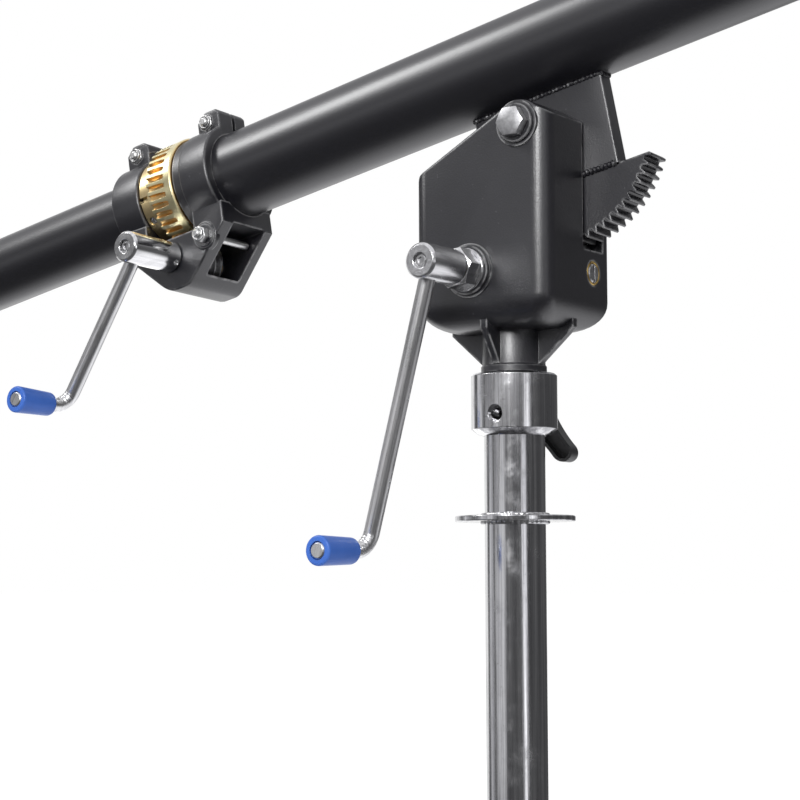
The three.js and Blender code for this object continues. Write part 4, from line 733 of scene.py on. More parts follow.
def head_block():
    """A box with round corners and a round underside, trimmed to the outline with softened rims."""
    h = HEAD
    rings, levels = [], 10
    for i in range(levels + 1):
        angle = i / levels * QUARTER
        inset = h["fillet"] * (1 - math.sin(angle))
        radius = min(h["corner"] + inset * 0.18, h["half_y"] - inset - 0.5)
        rings.append(rounded_ring(h["half_x"] - inset, h["half_y"] - inset, radius,
                                  h["bottom"] + h["fillet"] * (1 - math.cos(angle)), 10))
    rings.append(rounded_ring(h["half_x"], h["half_y"], h["corner"], HEAD_TOP, 10))
    trim = prism(head_outline(), -h["half_y"], h["half_y"])
    soften(trim, h["edge"], 5, rim_test(-h["half_y"], h["half_y"]))
    return common(loft(rings), trim)


def make_housing():
    h, r, p, n, c, g = HEAD, RIB, PIVOT, CRANK_NUT, COVER, CHAMBER
    lip_bottom = COLLAR["top"] + SEAT
    neck = turned([(0, lip_bottom), (h["lip"] - 0.6, lip_bottom), (h["lip"], lip_bottom + 0.6),
                   (h["lip"], h["lip_top"] - 0.5), (h["lip"] - 0.5, h["lip_top"]), (h["neck"], h["lip_top"] + 0.6),
                   (h["neck"], h["bottom"] + OVER), (0, h["bottom"] + OVER)], 96)
    face = -h["half_y"] + OVER
    bosses = [drill(radius, 0, height + OVER, x, face, z, FRONTWARD, 72) for radius, height, x, z in
              ((p["boss"], p["boss_height"], p["x"], p["z"]), (n["boss"], n["boss_height"], CRANK_X, WORM_Z),
               (n["step"], n["boss_height"] + n["step_height"], CRANK_X, WORM_Z))]
    ribs = []
    for side, reach in enumerate((r["reach_x"], r["reach_y"], r["reach_x"], r["reach_y"])):
        fin = prism([(r["core"], r["bottom"]), (r["foot"], r["bottom"]), (reach, r["top"]),
                     (reach, r["top"] + r["thick"]), (reach - r["thick"], r["root"]), (r["core"], r["root"])],
                    -r["thick"] / 2, r["thick"] / 2)
        ribs.append(put(fin, Matrix.Rotation(side * QUARTER, 4, "Z")))

    front, back, right = -h["half_y"] - 2 * OVER, h["half_y"] + OVER, h["half_x"] + OVER
    worm, gears = g["worm"], g["gears"]
    hollows = [
        block(-h["half_x"] + h["wall"], right, GEAR_Y - g["slot"], GEAR_Y + g["slot"], g["slot_bottom"], HEAD_TOP),
        drill(worm, g["web"], h["half_x"] - h["wall"], 0, GEAR_Y, WORM_Z, ALONG_X),
        block(g["web"], c["right"] - g["cover_lip"], GEAR_Y, h["half_y"], WORM_Z - worm, WORM_Z + worm),
        block(CRANK_X - gears, g["web"] - g["web_thick"], g["gears_front"], h["half_y"], WORM_Z - gears,
              WORM_Z + gears),
        block(c["left"], c["right"], h["half_y"] - c["thick"], back, WORM_Z - c["reach"], WORM_Z + c["reach"]),
        bar(SPIGOT["radius"] + FIT, lip_bottom - OVER, SPIGOT["top"] + SEAT, 72),
        drill(p["bolt"] + FIT, front, back, p["x"], 0, p["z"], ALONG_Y),
        drill(n["bore"], front, g["gears_front"] + 1, CRANK_X, 0, WORM_Z, ALONG_Y),
        drill(g["bush"], g["bush_from"], right, 0, GEAR_Y, WORM_Z, ALONG_X),
        *[drill(c["screw_hole"], c["hole_from"], h["half_y"] - c["thick"] + 1, x, 0, z, ALONG_Y, 24)
          for x, z in cover_screws()],
    ]
    casting = cut(add(head_block(), neck, *bosses, *ribs), *hollows)
    piece("housing_form", casting, MAST, CAST, "head_housing", sharp=35)


def cover_screws():
    c = COVER
    return [(x, WORM_Z + side * (c["reach"] - c["screw_in_z"]))
            for x in (c["left"] + c["screw_in_x"], c["right"] - c["screw_in_x"]) for side in (-1, 1)]


def make_cover():
    c, back = COVER, HEAD["half_y"]
    lid = block(c["left"] + SEAT, c["right"] - SEAT, back - c["thick"] + SEAT, back, WORM_Z - c["reach"] + SEAT,
                WORM_Z + c["reach"] - SEAT)
    soften(lid, c["corner"], 6, lambda edge: abs(edge.verts[0].co.y - edge.verts[1].co.y) > 1)
    lid = cut(lid, *[drill(c["screw_hole"], back - 10, back + 10, x, 0, z, ALONG_Y, 24) for x, z in cover_screws()])
    piece("cover_form", lid, MAST, CAST, "rear_cover")
    under = back + SEAT
    for number, (x, z) in enumerate(cover_screws(), 1):
        screw = turned([(0, back - 10.7), (2, back - 10.7), (2, under), (3.2, under), (3.2, under + 0.8)]
                       + arc(2.2, under + 1.2, 1, 0, QUARTER, 5) + [(0, under + 2.2)], 40)
        cross = [put(block(-0.45, 0.45, -2, 2, under + 1.2, under + OVER), Matrix.Rotation(angle, 4, "Z"))
                 for angle in (0.3, 0.3 + QUARTER)]
        piece(f"cover_screw_form_{number}", moved(put(cut(screw, *cross), ALONG_Y), x, 0, z), MAST, ZINC,
              f"cover_screw_{number}")


def make_pivot():
    p, back = PIVOT, HEAD["half_y"]
    front = -back - p["boss_height"] - SEAT
    place = shifted(MAST, p["x"], 0, p["z"]) @ ALONG_Y
    under = front - p["washer_thick"] - SEAT
    nut_front = back + SEAT + p["washer_thick"] + SEAT
    end = nut_front + p["nut"] + p["tail"]
    level = Matrix.Rotation(math.radians(30), 4, "Z")
    head = put(hexagon(p["flats"], 0, p["head"], 1),
               Matrix.Translation((0, 0, under)) @ Matrix.Rotation(math.pi, 4, "X") @ level)
    shank = turned([(0, under - 1), (p["bolt"], under - 1), (p["bolt"], end - 1), (p["bolt"] - 1, end), (0, end)])
    piece("pivot_bolt_form", add(head, shank), place, BOLT, "pivot_bolt")
    for name, low in (("pivot_washer", front - p["washer_thick"]), ("pivot_nut_washer", back + SEAT)):
        washer = ring_form(SHAFT_BORE, p["washer"], low, low + p["washer_thick"], 96, 0.4, 0.4)
        piece(name + "_form", washer, place, CAST, name)
    nut = cut(put(hexagon(p["flats"], nut_front, nut_front + p["nut"], 1), level),
              bar(SHAFT_BORE, nut_front - OVER, end + OVER))
    piece("pivot_nut_form", nut, place, ZINC, "pivot_nut")


# Cranks
def rod_form(crank):
    bend, radius = ROD["bend"], ROD["radius"]
    bm = bmesh.new()
    bmesh.ops.create_circle(bm, cap_ends=False, radius=radius, segments=40)
    moved(bm, 0, 0, ROD["above"])
    straight = crank["arm"] - bend
    edges = extend(bm, list(bm.edges), Matrix.Translation((0, 0, -straight - ROD["above"])))
    grown = bmesh.ops.spin(bm, geom=edges, cent=(0, -bend, -straight), axis=(1, 0, 0), angle=-QUARTER, steps=28,
                           use_merge=False)["geom_last"]
    edges = [item for item in grown if isinstance(item, bmesh.types.BMEdge)]
    for vert in bm.verts:
        wrinkle(vert, bend, straight)
    run = crank["grip"] + 0.6
    edges = extend(bm, edges, Matrix.Translation((0, ROD["head_length"] - run, 0)))
    neck, tip = (Vector((0, -(bend + run - short), -crank["arm"])) for short in (ROD["head_length"], 1))
    edges = extend(bm, edges, resized(neck, ROD["head"] / radius))
    edges = extend(bm, edges, Matrix.Translation((0, 1 - ROD["head_length"], 0)))
    extend(bm, edges, Matrix.Translation((0, -1, 0)) @ resized(tip, (ROD["head"] - 1) / ROD["head"]))
    return put(close(bm), Matrix.Rotation(crank["angle"], 4, "Y"))


def resized(centre, factor):
    return Matrix.Translation(centre) @ Matrix.Scale(factor, 4) @ Matrix.Translation(-centre)


def wrinkle(vert, bend, straight):
    """Small creases on the inside of the cold bend."""
    y, z = vert.co.y + bend, vert.co.z + straight
    reach = math.hypot(y, z)
    if y < -1e-6 or z > 1e-6 or reach > bend:
        return
    angle = math.atan2(-z, y)
    share = (1 - (reach - (bend - ROD["radius"])) / ROD["radius"]) * math.sin(2 * angle) ** 2
    push = 0.32 * share * math.sin(angle * 22)
    vert.co.y += push * y / reach
    vert.co.z += push * z / reach


def hub_form(crank):
    radius, front, rest = crank["hub"], -crank["behind"], crank["hub_length"] - crank["behind"]
    blank = turned([(0, front), (radius - 1.6, front), (radius - 0.25, front + 1.2), (radius, front + 1.9),
                    (radius, rest - 0.8), (radius - 0.8, rest), (0, rest)], 96)
    shaft_hole = bar(SHAFT_BORE, 5.8, rest + OVER)
    screw_seat = turned([(0, front - OVER), (5.1, front - OVER), (5.1, front - 0.01), (4.7, front + 0.4),
                         (4.7, front + 3), (0, front + 3)], 64)
    blank = put(cut(blank, shaft_hole, screw_seat), ALONG_Y)
    rod_hole = put(bar(ROD["radius"] + FIT, -ROD["above"] - SEAT, radius + OVER),
                   Matrix.Rotation(crank["angle"], 4, "Y") @ Matrix.Rotation(math.pi, 4, "X"))
    blank = cut(blank, rod_hole)
    hole = crank["set_hole"]
    if hole:
        mouth = turned([(0, radius - 3), (2, radius - 3), (2, radius - 0.4), (2.4, radius), (2.4, radius + 2),
                        (0, radius + 2)], 40)
        aim = Matrix.Rotation(hole["angle"], 4, "Y") @ ALONG_X
        blank = cut(blank, moved(put(mouth, aim), 0, hole["along"], 0))
    return blank


def hub_screw_form(crank):
    front = -crank["behind"]
    screw = turned([(0, front + 1), (3.4, front + 1), (3.7, front + 1.3), (3.7, front + 2.7), (0, front + 2.7)], 48)
    return put(cut(screw, six_sided(2.31, 4, front)), ALONG_Y)


def grip_form(crank):
    start, end = (ROD["bend"] + SEAT + crank["grip"] * share for share in (0.1, 1))
    profile = ([(5.3, start)] + arc(5.5, start + 2.7, 2.7, -QUARTER, 0, 8) + arc(7.5, end - 1.6, 1.6, 0, QUARTER, 8)
               + [(5.6, end), (5.6, end - 3.3), (5.3, end - 3.3)])
    form = put(turned(profile, 96, ring=True), FRONTWARD)
    return moved(form, -crank["arm"] * math.sin(crank["angle"]), 0, -crank["arm"] * math.cos(crank["angle"]))


def make_crank(name, crank, place, hub_finish, rod_finish):
    piece(f"{name}_hub_form", hub_form(crank), place, hub_finish, f"{name}_hub")
    piece(f"{name}_screw_form", hub_screw_form(crank), place, STEEL, f"{name}_screw")
    piece(f"{name}_rod_form", rod_form(crank), place, rod_finish, f"{name}_arm", sharp=40)
    piece(f"{name}_grip_form", grip_form(crank), place, BLUE, f"{name}_grip")


def make_crank_nut():
    n, head_face = CRANK_NUT, HEAD["half_y"]
    axis = shifted(MAST, CRANK_X, 0, WORM_Z)
    face = head_face + n["boss_height"] + n["step_height"] + n["gap"]
    outer = face + n["washer_thick"] - n["gap"]
    washer = ring_form(n["bore"], n["washer"], face, outer, 96, 0.4, 0.5)
    piece("crank_washer_form", washer, axis @ FRONTWARD, CHROME, "crank_nut_washer")
    low = outer + n["gap"]
    high = low + n["height"]
    nut = cut(hexagon(n["flats"], low, high, 1.15), bar(n["bore"], low - OVER, high + OVER, 72))
    piece("crank_nut_form", nut, axis @ Matrix.Rotation(n["spin"], 4, "Y") @ FRONTWARD, TURN_HUB, "crank_nut")
    bush = ring_form(SHAFT_BORE, n["bush"], 3.1, head_face + n["nose"], 96, 0, 0.5)
    piece("crank_bush_form", bush, axis @ FRONTWARD, BUSH, "crank_bush")
    tip = head_face + TILT_CRANK["front"] - TILT_CRANK["behind"] - SHAFT
    shaft = turned([(0, 2.3), (SHAFT, 2.3), (SHAFT, tip - 1), (SHAFT - 1, tip), (0, tip)], 64)
    piece("crank_shaft_form", shaft, axis @ FRONTWARD, STEEL, "crank_shaft")


# Boom, pivot plate and sector
def make_boom():
    for name, tube in (("main_tube", BOOM_TUBE), ("front_tube", FRONT_TUBE)):
        form = ring_form(tube["radius"] - tube["wall"], tube["radius"], tube["front"], tube["rear"], 160, 0.4, 0.4)
        piece(name + "_form", form, BOOM @ ALONG_X, TUBE, name)


def tooth_half_angle(radius):
    """Half the angle that a tooth of the sector takes at this radius: an involute, less the backlash."""
    here = math.acos(min(1.0, PITCH_R * math.cos(PRESSURE_ANGLE) / radius))
    at_pitch = (math.pi * SECTOR["module"] / 2 - SECTOR["backlash"]) / PITCH_R
    return at_pitch / 2 + math.tan(PRESSURE_ANGLE) - PRESSURE_ANGLE - (math.tan(here) - here)


def make_sector():
    g = SECTOR
    root, tip = PITCH_R - g["module"] * g["root"], PITCH_R + g["module"] * g["tip"]
    pitch = TURN / g["teeth"]
    flank = [root + 0.4 + (tip - 0.25 - root - 0.4) * i / 5 for i in range(6)]
    sides = [(radius, tooth_half_angle(radius)) for radius in flank]
    sides = [(root, pitch * 0.36), *sides, (tip, sides[-1][1] - 0.25 / tip)]
    first = math.ceil((TILT - g["half_angle"]) / pitch - g["phase"])
    last = math.floor((TILT + g["half_angle"]) / pitch - g["phase"])
    outline = [(0.0, 0.0)]
    for k in range(last, first - 1, -1):
        centre = -QUARTER - TILT + (k + g["phase"]) * pitch
        outline += [(r * math.cos(centre + a), r * math.sin(centre + a)) for r, a in sides]
        outline += [(r * math.cos(centre - a), r * math.sin(centre - a)) for r, a in reversed(sides)]
    outline.reverse()
    blank = prism(outline, -g["thick"] / 2, g["thick"] / 2)
    rims = [edge for edge in blank.edges if any(abs(face.normal.y) > 0.9 for face in edge.link_faces)
            and all(vert.co.xz.length > root - 1 for vert in edge.verts)]
    bmesh.ops.bevel(blank, geom=rims, offset=g["bevel"], affect="EDGES", segments=2, profile=0.5, material=-1)
    twist = g["module"] / 2 / TILT_WORM["pitch"] / PITCH_R
    for vert in blank.verts:
        vert.co = Matrix.Rotation(twist * vert.co.y, 3, "Y") @ vert.co
    wide = 2 * tip
    form = common(blank, block(-wide, wide, -g["thick"], g["thick"], -wide, -g["below"]))
    moved(form, PIVOT_S, GEAR_Y - BOOM_Y, PIVOT_N)
    piece("sector_form", form, BOOM, CAST, "sector_gear", sharp=20)


def weld(name, run, size, ripple, pitch):
    piece(name, bead(run, size, ripple, pitch), BOOM, WELD, body="boom", sharp=60)


def under_tube(y, gap):
    """The level just under the boom's tube, beside its middle."""
    return -math.sqrt(SADDLE ** 2 - y * y) - gap


def make_plate():
    q = PLATE
    left, right, front = q["left"], q["right"], q["front"]
    back = front + q["thick"]
    blank = block(left, right, front, back, CHORD_N + SEAT, q["top"])
    soften(blank, 0.7, 3, lambda edge: abs(edge.verts[0].co.x - edge.verts[1].co.x) < 0.01)
    half = CHAMBER["slot"] - 0.4
    low, high = GEAR_Y - BOOM_Y - half, GEAR_Y - BOOM_Y + half
    sleeve = drill(q["sleeve"], low, high, PIVOT_S, 0, PIVOT_N, ALONG_Y, 72)
    bore = drill(q["bush"] + FIT, low - OVER, high + OVER, PIVOT_S, 0, PIVOT_N, ALONG_Y, 64)
    saddle = put(bar(SADDLE, left - OVER, right + OVER, 160), ALONG_X)
    piece("plate_form", cut(add(blank, sleeve), bore, saddle), BOOM, CAST, "pivot_plate")
    bush = ring_form(SHAFT_BORE, q["bush"], low, high, 72)
    piece("pivot_bush_form", moved(put(bush, ALONG_Y), PIVOT_S, 0, PIVOT_N), BOOM, BUSH, "pivot_bush")

    seam = CHORD_N + 0.4
    weld("sector_weld_1", [(left + 2, front + 0.2, seam), (right - 1, front + 0.2, seam)], 1.9, 0.3, 2.6)
    weld("sector_weld_2", [(right - 0.4, front + 0.5, seam), (right - 0.4, back - 0.5, seam)], 1.6, 0.3, 2.6)
    weld("sector_weld_3", [(left + 2, back - 0.2, seam), (right - 1, back - 0.2, seam)], 1.9, 0.3, 2.6)
    for number, y in enumerate((front + 0.3, back - 0.3), 1):
        level = under_tube(y, 0.4)
        weld(f"tube_weld_{number}", [(left + 0.5, y, level), (right - 0.5, y, level)], 1.5, 0.22, 2.8)
    for number, s in enumerate((left + 0.2, right - 0.2), 3):
        run = [(s, y, under_tube(y, 0.3)) for y in (front, (front + back) / 2, back)]
        weld(f"tube_weld_{number}", run, 1.5, 0.22, 2.6)


# Worms
def thread(worm):
    """The worm's right-hand thread along Z, with a crest at the angle crest on the level z = 0, on its core."""
    lead, length, tip, root = math.pi * worm["module"], worm["length"], worm["tip"], worm["root"]

    def half_width(radius):
        return (lead / 2 - worm["backlash"] - 2 * (radius - worm["pitch"]) * math.tan(PRESSURE_ANGLE)) / 2

    steps = 48
    turns = math.ceil(length / lead) + 2
    inner, at_root, at_tip = root - 1.5, half_width(root), half_width(tip)
    section = [(inner, -at_root), (root, -at_root), (tip - 0.3, -at_tip - 0.1), (tip, 0.2 - at_tip),
               (tip, at_tip - 0.2), (tip - 0.3, at_tip + 0.1), (root, at_root), (inner, at_root)]
    bm = bmesh.new()
    low = -turns * lead / 2
    face = bm.faces.new([bm.verts.new((x, 0, low + z)) for x, z in section])
    bmesh.ops.spin(bm, geom=list(face.edges), cent=(0, 0, 0), axis=(0, 0, 1), dvec=(0, 0, lead / steps),
                   angle=TURN * turns, steps=steps * turns, use_merge=False)
    bmesh.ops.remove_doubles(bm, verts=bm.verts, dist=1e-5)
    close(bm)
    put(bm, Matrix.Rotation(worm["crest"] - (0 if turns % 2 == 0 else math.pi), 4, "Z"))
    core = bar(root + 0.05, -length / 2, length / 2, 96)
    envelope = bar(tip + OVER, -length / 2, length / 2, 24)
    return common(add(bm, core), envelope)


def make_worms():
    h = HEAD
    form = put(thread(TILT_WORM), Matrix(((0, 0, 1, 0), (1, 0, 0, 0), (0, 1, 0, 0), (0, 0, 0, 1))))
    moved(form, PIVOT["x"], 0, 0)
    end, right = h["half_x"] + 0.6, h["half_x"] - h["wall"]
    shaft = put(turned([(0, 11), (SHAFT - 1, 11), (SHAFT, 12), (SHAFT, end - 0.8), (5.2, end), (0, end)], 64), ALONG_X)
    shoulders = [drill(9, low, high, 0, 0, 0, ALONG_X, 64) for low, high in ((15.6, 18), (40, right - SEAT))]
    slot = block(end - 1.6, end + OVER, -1, 1, -9, 9)
    form = cut(add(form, shaft, *shoulders), slot)
    piece("tilt_worm_form", moved(form, 0, GEAR_Y, WORM_Z), MAST, STEEL, "tilt_worm")
    for name, low, high in (("worm_bush_left", 11.3, 15.3), ("worm_bush_right", right, h["half_x"] + SEAT)):
        bush = turned([(SHAFT_BORE, low), (7.5, low), (7.5, high - 0.4), (7.1, high), (6.5, high),
                       (SHAFT_BORE, high - 0.3)], 72, ring=True)
        piece(name + "_form", moved(put(bush, ALONG_X), 0, GEAR_Y, WORM_Z), MAST, BUSH, name)

    b = CASTING
    form = put(thread(TURN_WORM), Matrix(((0, 1, 0, 0), (0, 0, 1, 0), (1, 0, 0, 0), (0, 0, 0, 1))))
    tip = b["front"] - TURN_CRANK["front"] + TURN_CRANK["behind"] + SHAFT
    shaft = turned([(0, tip), (SHAFT - 1, tip), (SHAFT, tip + 1), (SHAFT, 24), (SHAFT - 1, 25), (0, 25)], 64)
    shoulders = drill(8.5, -16.7, 16.7, 0, 0, 0, ALONG_Y, 64)
    form = moved(add(form, put(shaft, ALONG_Y), shoulders), b["worm_s"], 0, b["worm_n"])
    piece("turning_worm_form", form, BRACKET, STEEL, "turning_worm")
    for name, low, high in (("turning_bush_front", b["front"], -17), ("turning_bush_back", 17, b["back"])):
        bush = put(ring_form(SHAFT_BORE, 8.6, low, high, 72), ALONG_Y)
        piece(name + "_form", moved(bush, b["worm_s"], 0, b["worm_n"]), BRACKET, BUSH, name)


# Gear bracket
def curve(start, control, end, steps=8):
    """Points of a quadratic curve, without its start."""
    return [tuple((1 - t) ** 2 * a + 2 * t * (1 - t) * c + t * t * e for a, c, e in zip(start, control, end))
            for t in ((i + 1) / steps for i in range(steps))]


def on_floor(a, b, level):
    """Where the line from a through b meets the level."""
    return b[0] + (b[0] - a[0]) * (level - b[1]) / (b[1] - a[1]), level


def casting_outline():
    floor = CASTING["floor"]
    knee, left_foot, right_top, slant = (-314.7, -51.6), (-298.7, -67.4), (-235.0, -39.4), (-268.2, -72.0)
    points = [(-330.5, -20.0), (-330.5, -37.0), knee, left_foot]
    points += curve(left_foot, on_floor(knee, left_foot, floor), (-284.0, floor))
    points.append((-275.5, floor))
    points += curve((-275.5, floor), on_floor(right_top, slant, floor), slant)
    return points + [right_top, (-235.0, -24.0)]


def collar_form(low, high, radius, inner):
    """A clamp collar's ring along the boom, with round rims."""
    edge = 1.6
    profile = ([(inner, low)] + arc(radius - edge, low + edge, edge, -QUARTER, 0, 5)
               + arc(radius - edge, high - edge, edge, 0, QUARTER, 5) + [(inner, high)])
    return put(turned(profile, 160, ring=True), ALONG_X)


def ear_form(lug):
    at_rim = rim_test(EAR_FRONT, EAR_BACK)
    ear = prism([(lug["from"], 26), (lug["to"], 26), (lug["to"], lug["top"] - 3), (lug["top_to"], lug["top"]),
                 (lug["top_from"], lug["top"]), (lug["from"], lug["top"] - 6)], EAR_FRONT, EAR_BACK)
    return soften(ear, 1.3, 4, lambda edge: min(vert.co.z for vert in edge.verts) > 27 or at_rim(edge))


def lock_boss():
    k = LOCK
    foot = k["boss"] + 2.2
    boss = turned([(0, -4), (foot, -4), (foot, 0.0)] + arc(foot, 1.0, 1.0, -QUARTER, -2 * QUARTER, 5)
                  + arc(k["boss"] - 0.6, k["height"] - 0.6, 0.6, 0, QUARTER, 4) + [(0, k["height"])], 72)
    return moved(put(boss, FRONTWARD), k["s"], CASTING["front"], k["n"])


def worm_chamber():
    b = CASTING
    at_rim = rim_test(-17, 17)
    room = [(-302.2, -16.0), (-302.2, b["worm_n"])]
    room += arc(b["worm_s"], b["worm_n"], 16.7, math.pi, 1.5 * math.pi, 16)[1:]
    room += [(-227.0, -67.7), (-227.0, -38.4), (-268.3, -38.4), (-268.3, -16.0)]
    chamber = prism(room, -17, 17)
    return soften(chamber, 1.6, 4, lambda edge: at_rim(edge) and min(vert.co.z for vert in edge.verts) < -30)


def make_bracket():
    b, k = CASTING, LOCK
    front, back = b["front"], b["back"]
    box = soften(prism(casting_outline(), front, back), 1.5, 4, rim_test(front, back))
    wheel_room = block(-305, -261.5, front - OVER, -16, -37.8, -15)
    box = cut(box, wheel_room)
    shroud = put(turned([(29, -269), (35.8, -269), (36.6, -268.2), (36.6, -240), (29, -240)], 160, ring=True), ALONG_X)
    body = add(box, collar_form(-330.5, -305, 33.5, 23), collar_form(-262, -237, 37.6, 28), shroud,
               *[ear_form(lug) for lug in EARS.values()], lock_boss())
    tools = [
        worm_chamber(),
        put(bar(39.4, -305.05, -268.4, 162), ALONG_X),
        put(bar(FRONT_TUBE["radius"] + 0.25, -340, -304, 162), ALONG_X),
        put(bar(BOOM_TUBE["radius"] + 0.25, -269.8, -230, 162), ALONG_X),
        block(-340, -230, -1.5, 1.5, 12.7, 52),
        drill(8.8, front - OVER, back + OVER, b["worm_s"], 0, b["worm_n"], ALONG_Y, 72),
        drill(k["radius"] + FIT, front - OVER, 0, k["s"], 0, k["n"], ALONG_Y, 32),
    ]
    for lug in EARS.values():
        tools.append(drill(3.2, -20, 20, lug["s"], 0, lug["n"], ALONG_Y, 32))
        tools.append(moved(put(six_sided(6.12, 8, 0), ALONG_Y), lug["s"], NUT_SEAT - 4, lug["n"]))
    piece("bracket_form", cut(body, *tools), BRACKET, CAST, "gear_bracket", sharp=35)


def lock_nut_form(high, bore):
    """A nut with a round collar at its low end, along Z with its upper face at high."""
    n = LOCK_NUT
    low = high - n["height"]
    outer, collar = low - n["collar_height"], n["collar"]
    nut = put(hexagon(n["flats"], -high, -low, 0.9), Matrix.Rotation(math.pi, 4, "X"))
    rim = turned([(0, outer + 0.5), (bore + 0.9, outer + 0.5), (bore + 1.0, outer + 0.1)]
                 + arc(collar - 0.7, outer + 0.7, 0.7, -QUARTER, 0, 5) + [(collar, low + 1), (0, low + 1)], 64)
    return cut(add(nut, rim), bar(bore, outer - OVER, high + OVER, 32))


def make_bracket_screws():
    nut_length = LOCK_NUT["height"] + LOCK_NUT["collar_height"]
    for side, lug in EARS.items():
        place = shifted(BRACKET, lug["s"], 0, lug["n"]) @ ALONG_Y
        under, back = NUT_SEAT - SEAT, EAR_BACK + SEAT
        tail, top = under - nut_length - 1.6, back + 6
        bolt = turned([(0, tail), (2.1, tail), (3, tail + 0.8), (3, back), (4.3, back), (4.7, back + 0.4),
                       (4.7, back + 5.2), (3.9, top), (0, top)], 64)
        piece(f"clamp_bolt_{side}_form", cut(bolt, six_sided(2.887, 6, top)), place, ZINC, f"clamp_bolt_{side}")
        piece(f"clamp_nut_{side}_form", lock_nut_form(under, 3.2), place, ZINC, f"clamp_nut_{side}")
    k = LOCK
    place = shifted(BRACKET, k["s"], 0, k["n"]) @ ALONG_Y
    face = CASTING["front"] - k["height"] - SEAT
    tip = face - nut_length - 2
    piece("lock_nut_form", lock_nut_form(face, 3.0), place, ZINC, "lock_nut")
    screw = turned([(0, tip), (k["radius"] - 0.9, tip), (k["radius"], tip + 0.8), (k["radius"], 15.4),
                    (k["radius"] - 0.6, 16), (0, 16)], 48)
    piece("lock_screw_form", screw, place, ZINC, "lock_screw")


def gash_form():
    """One round of the cutter that gashes the wheel, leaning with the worm's thread."""
    w = WHEEL

    def half_width(radius):
        return w["gash_half"] + (TURN_WORM["pitch"] - radius) * math.tan(w["gash_slope"])

    deep, shallow = w["gash_deep"], w["gash_shallow"]
    at_deep, at_shallow = half_width(deep), half_width(shallow)
    gash = turned([(0, -at_shallow), (shallow, -at_shallow), (deep - 0.5, -at_deep), (deep, 0.5 - at_deep),
                   (deep, at_deep - 0.5), (deep - 0.5, at_deep), (shallow, at_shallow), (0, at_shallow)], 60)
    put(put(gash, ALONG_Y), Matrix.Rotation(math.atan(TURN_WORM["module"] / 2 / TURN_WORM["pitch"]), 4, "Z"))
    return moved(gash, CASTING["worm_s"], 0, CASTING["worm_n"])


def repeated_round_x(bm, count):
    """The form and its copies at even steps round X, in one bmesh."""
    one = bpy.data.meshes.new("one")
    bm.to_mesh(one)
    bm.free()
    whole = bmesh.new()
    for k in range(count):
        before = len(whole.verts)
        whole.from_mesh(one)
        whole.verts.ensure_lookup_table()
        bmesh.ops.transform(whole, matrix=Matrix.Rotation(k / count * TURN, 4, "X"), verts=whole.verts[before:])
    bpy.data.meshes.remove(one)
    return whole


def make_wheel():
    w = WHEEL
    low, high, hub_low, bore, rim, hub = (w[key] for key in ("low", "high", "hub_low", "bore", "rim", "hub"))
    blank = put(turned([(bore, hub_low), (hub - 0.8, hub_low), (hub, hub_low + 0.8), (hub, low), (rim - 0.4, low),
                        (rim, low + 0.4), (rim, high - 1), (rim - 1, high), (bore, high)], 222, ring=True), ALONG_X)
    notch = put(block(hub_low - OVER, w["notch_s"], -hub - OVER, 4 - hub, -1.9, 1.9),
                Matrix.Rotation(w["notch_angle"], 4, "X"))
    aim = Matrix.Rotation(w["screw_angle"], 4, "X") @ FRONTWARD
    hole = moved(put(bar(3.0, 25.4, hub + OVER, 40), aim), w["screw_s"], 0, 0)
    form = cut(blank, repeated_round_x(gash_form(), w["teeth"]), notch, hole)
    piece("wheel_form", form, BRACKET, BRASS, "worm_wheel", sharp=32)
    screw = turned([(0, 25.8), (2.8, 25.8), (2.8, hub - 1.4), (2.4, hub - 1), (0, hub - 1)], 40)
    screw = put(cut(screw, six_sided(1.73, 5, hub - 1)), aim)
    piece("wheel_screw_form", moved(screw, w["screw_s"], 0, 0), BRACKET, STEEL, "wheel_set_screw")


# Boom ends
def make_lamp_socket():
    k, end = SOCKET, FRONT_TUBE["front"]
    half, radius, shoulder, web_half = k["half"], k["radius"], k["shoulder"], k["web"]
    axis = end - k["stand_off"] - half
    plug = put(bar(22.1, end - 7, end + 60, 96), ALONG_X)
    rim = put(turned([(0, end - 8), (shoulder, end - 8)] + arc(shoulder, end - 6.8, 1.2, -QUARTER, 0, 4)
                     + arc(shoulder, end - 1.5, 1.2, 0, QUARTER, 4) + [(0, end - 0.3)], 120), ALONG_X)
    web = block(axis, end - 7, -web_half, web_half, -web_half, web_half)
    soften(web, 2.0, 3, lambda edge: abs(edge.verts[0].co.x - edge.verts[1].co.x) > 1)
    sleeve = turned([(0, -half)] + arc(radius - 1.2, 1.2 - half, 1.2, -QUARTER, 0, 4)
                    + arc(radius - 1.2, half - 1.2, 1.2, 0, QUARTER, 4) + [(0, half)], 120)
    bore = turned([(0, -37), (k["mouth"], -37), (k["bore"], -33.2), (k["bore"], 33.2), (k["mouth"], 37), (0, 37)], 96)
    tapped = drill(k["screw"], -radius - OVER, 0, axis, 0, 0, ALONG_X)
    form = cut(add(plug, rim, web, moved(sleeve, axis, 0, 0)), moved(bore, axis, 0, 0), tapped)
    piece("lamp_socket_form", form, BOOM, STEEL, "lamp_socket")
    screw = turned([(0, 15), (4.2, 15), (5, 15.8), (5, 42), (7, 42)] + arc(5.6, 52.6, 1.4, 0, QUARTER, 5)
                   + [(0, 54)], 64)
    handle_bar = put(turned([(0, -28)] + arc(2.6, -26.6, 1.4, -QUARTER, 0, 5) + arc(2.6, 26.6, 1.4, 0, QUARTER, 5)
                            + [(0, 28)], 48), ALONG_Y)
    form = put(add(screw, moved(handle_bar, 0, 0, 48)), Matrix.Rotation(-QUARTER, 4, "Y"))
    piece("lamp_screw_form", moved(form, axis, 0, 0), BOOM, CHROME, "lamp_screw")


